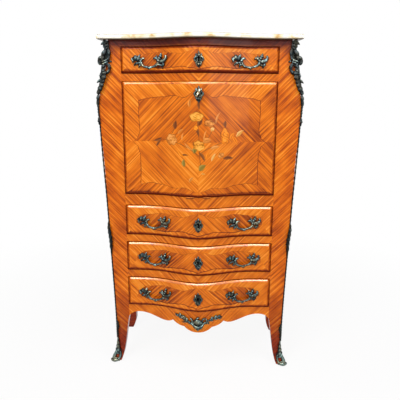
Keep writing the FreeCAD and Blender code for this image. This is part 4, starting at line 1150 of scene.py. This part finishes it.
# Apron mount: an oval boss in a scrolled bowl, with a spray of leaves to each side.
apronLook = {
    "strokes": [
        # shell
        bar([(-22, 201, 1), (0, 199, 2), (22, 200, 1)], [5, 14, 5], 2.4),
        bar([(-16, 208, 4), (-6, 212, 8), (6, 209, 8), (18, 203, 4)], [5, 10, 10, 5], 7),
        bar([(-5, 209, 11), (2, 208, 13), (9, 205, 11)], [3, 6.5, 3], 4),
        bar([(-8, 220, 4), (-2, 224, 5), (5, 226, 2)], [3, 3.6, 0.8], 3.6),
        # bowl
        bar([(-25, 204, 4), (-17, 194, 7), (0, 187, 9), (15, 192, 7), (22, 203, 4)],
            [3, 5, 5.4, 5, 3], 5.4),
        bar([(-20, 194, 3), (-12, 184, 6), (1, 180, 7), (13, 184, 6), (19, 194, 3)],
            [3, 4.6, 5.4, 4.6, 3], 5, lobes=5),
        bar([(0, 182, 4), (-1, 175, 4), (-1, 168, 2)], [5.4, 4, 0.8], 3.6),
        # left spray
        bar([(-31, 222, 3), (-24, 215, 4), (-21, 206, 5), (-14, 198, 5)], [2, 3.6, 3.6, 2.4], 3.6),
        bar([(-21, 196, 4), (-38, 207, 6), (-57, 219, 6), (-75, 227, 5), (-91, 230, 2)],
            [5, 7, 6.6, 5.4, 2], 5, lobes=8),
        bar([(-42, 214, 5), (-50, 222, 5), (-56, 230, 2)], [3, 4.4, 0.9], 3.6, lobes=3),
        bar([(-31, 204, 3), (-48, 203, 3), (-65, 199, 1)], [2.6, 3, 0.7], 2.8),
        # right spray
        bar([(30, 221, 3), (21, 220, 4), (16, 213, 5), (10, 209, 5)], [2, 3.4, 3.4, 2], 3.6),
        bar([(34, 208, 4), (50, 215, 5), (68, 222, 5), (82, 223, 4), (95, 218, 2)],
            [4, 5.4, 5.4, 4.6, 2], 4.6, lobes=8),
        bar([(18, 199, 4), (34, 206, 6), (44, 195, 2)], [4, 7, 0.9], 4.6, lobes=3),
        bar([(30, 221, 3), (36, 208, 6), (31, 195, 2)], [2, 5, 1], 4),
    ],
    "leaflets": [  # root and tip of each small leaf along the sprays
        (-38, 208, -48, 222), (-52, 217, -62, 230), (-64, 223, -74, 236), (-45, 211, -60, 210),
        (-60, 220, -75, 217), (-75, 227, -89, 223), (50, 216, 57, 227), (63, 221, 72, 231),
        (78, 224, 87, 229), (48, 214, 61, 209), (62, 220, 76, 213), (76, 222, 90, 213)],
}


def leaflet(rootX, rootZ, tipX, tipZ):  # a small leaf that bends upwards on its way to the tip
    belly = (0.6 * rootX + 0.4 * tipX, 0.4 * rootZ + 0.6 * tipZ, 5)
    return bar([(rootX, rootZ, 4), belly, (tipX, tipZ, 2)], [2.4, 3.4, 0.8], 3.2, steps=24)


def apronMount():
    def place(line):
        across = line[:, 0] * mm
        return np.stack([across, serpentine(across) - line[:, 2] * mm, line[:, 1] * mm], 1)
    leaflets = [leaflet(*ends) for ends in apronLook["leaflets"]]
    return castings(apronLook["strokes"] + leaflets, place, (0, -1, 0))


buildPiece("cast_apron_mount", apronMount(), [bronzeMaterial], "carcass", ["apron_mount"])
print("apron mount cast")


# Camera, fitted to the photograph's straight edges; y counts from the posts' front plane.
cameraLook = {
    "place": (0.0627, -1.6126, 1.0468),
    "yaw": 0.0365,
    "pitch": 0.2234,
    "roll": 0.0041,
    "lens": 39.6,
}


def placeCamera():
    look = cameraLook
    cy, sy = math.cos(look["yaw"]), math.sin(look["yaw"])
    cp, sp = math.cos(look["pitch"]), math.sin(look["pitch"])
    cr, sr = math.cos(look["roll"]), math.sin(look["roll"])
    base = np.array([[1, 0, 0], [0, 0, -1], [0, 1, 0]], float)
    yaw = np.array([[cy, sy, 0], [-sy, cy, 0], [0, 0, 1]])
    pitch = np.array([[1, 0, 0], [0, cp, -sp], [0, sp, cp]])
    roll = np.array([[cr, -sr, 0], [sr, cr, 0], [0, 0, 1]])
    right, down, forward = roll @ pitch @ base @ yaw
    turn = Matrix(np.stack([right, -down, -forward], 1).tolist()).to_4x4()
    place = Vector(look["place"]) + Vector((0, plan["front"], 0))
    data = bpy.data.cameras.new("photo_camera")
    data.lens = look["lens"]
    data.sensor_width = 36.0
    camera = bpy.data.objects.new("photo_camera", data)
    camera.matrix_world = Matrix.Translation(place) @ turn
    bpy.context.scene.collection.objects.link(camera)
    bpy.context.scene.camera = camera


placeCamera()
print("camera placed")


# Pale floor, white surround and soft lamps.
lightLook = {
    "worldStrength": 0.38,
    "floorHalf": 6,
    "floorRows": 13,
    "floorGlow": (0.9, 1.0),   # near the feet, and far off
    "floorFade": (0.7, 1.9),
    "lamps": [
        # name, place, aimed at, width and depth, watts, lights matt surfaces too
        ("key_lamp", (-1.2, -2.5, 2.7), (0, 0, 0.7), (1.6, 1.6), 52, True),
        ("fill_lamp", (1.8, -2.3, 1.5), (0, 0, 0.6), (1.6, 1.6), 18, True),
        ("top_lamp", (0.2, -0.8, 2.9), (0, -0.1, 0.8), (1.8, 0.8), 18, True),
        ("edge_lamp", (0.1, -1.6, 2.6), (0, -0.15, 0.5), (2.4, 2.6), 240, False),
    ],
}


def seenRays(tree):  # 1 for rays that see the background: camera, glossy and transmission
    rays = addNode(tree, "ShaderNodeLightPath")
    seen = addNode(tree, "ShaderNodeMath", {
        0: rays.outputs["Is Camera Ray"], 1: rays.outputs["Is Glossy Ray"]}, operation="MAXIMUM")
    return addNode(tree, "ShaderNodeMath", {
        0: seen.outputs[0], 1: rays.outputs["Is Transmission Ray"]}, operation="MAXIMUM").outputs[0]


def lightStage():
    look = lightLook
    scene = bpy.context.scene
    scene.view_settings.view_transform = "Standard"
    world = bpy.data.worlds.new("studio")
    scene.world = world
    world.use_nodes = True
    tree = world.node_tree
    back = tree.nodes["Background"]
    power = addNode(tree, "ShaderNodeMapRange", {
        "Value": seenRays(tree), "To Min": look["worldStrength"], "To Max": 1.0})
    back.inputs["Color"].default_value = (1, 1, 1, 1)
    tree.links.new(power.outputs[0], back.inputs["Strength"])
    for name, place, aim, size, watts, matt in look["lamps"]:
        data = bpy.data.lights.new(name, "AREA")
        data.shape = "RECTANGLE"
        data.size, data.size_y = size
        data.energy = watts
        lamp = bpy.data.objects.new(name, data)
        lamp.visible_diffuse = matt
        lamp.location = place
        lamp.rotation_euler = (Vector(aim) - Vector(place)).to_track_quat("-Z", "Y").to_euler()
        scene.collection.objects.link(lamp)


def layFloor():
    look = lightLook
    rows = look["floorRows"]
    side = np.linspace(-look["floorHalf"], look["floorHalf"], rows)
    y, x = np.meshgrid(side, side)
    points = np.stack([x, y, np.zeros_like(x)], -1)
    mesh = bpy.data.meshes.new("floor")
    cells = gridFaces(rows, rows, (False, False), 0)
    mesh.from_pydata(points.reshape(-1, 3).tolist(), [], cells.tolist())
    material, tree, shader = newMaterial("floor_white", 0.9)
    shader.inputs["Base Color"].default_value = linear("#F4F4F4")
    glow = addNode(tree, "ShaderNodeEmission", {"Color": (1, 1, 1, 1), "Strength": 1.0})
    spot = addNode(tree, "ShaderNodeTexCoord").outputs["Object"]
    away = addNode(tree, "ShaderNodeVectorMath", {0: spot}, operation="LENGTH").outputs["Value"]
    fade = addNode(tree, "ShaderNodeMapRange", {
        "Value": away, "From Min": look["floorFade"][0], "From Max": look["floorFade"][1],
        "To Min": look["floorGlow"][0], "To Max": look["floorGlow"][1]})
    share = addNode(tree, "ShaderNodeMath", {0: seenRays(tree), 1: fade.outputs[0]}, operation="MULTIPLY")
    mixed = addNode(tree, "ShaderNodeMixShader", {
        0: share.outputs[0], 1: shader.outputs[0], 2: glow.outputs[0]})
    tree.links.new(mixed.outputs[0], tree.nodes["Material Output"].inputs["Surface"])
    mesh.materials.append(material)
    floor = bpy.data.objects.new("floor", mesh)
    bpy.context.scene.collection.objects.link(floor)


lightStage()
layFloor()
print("stage lit")
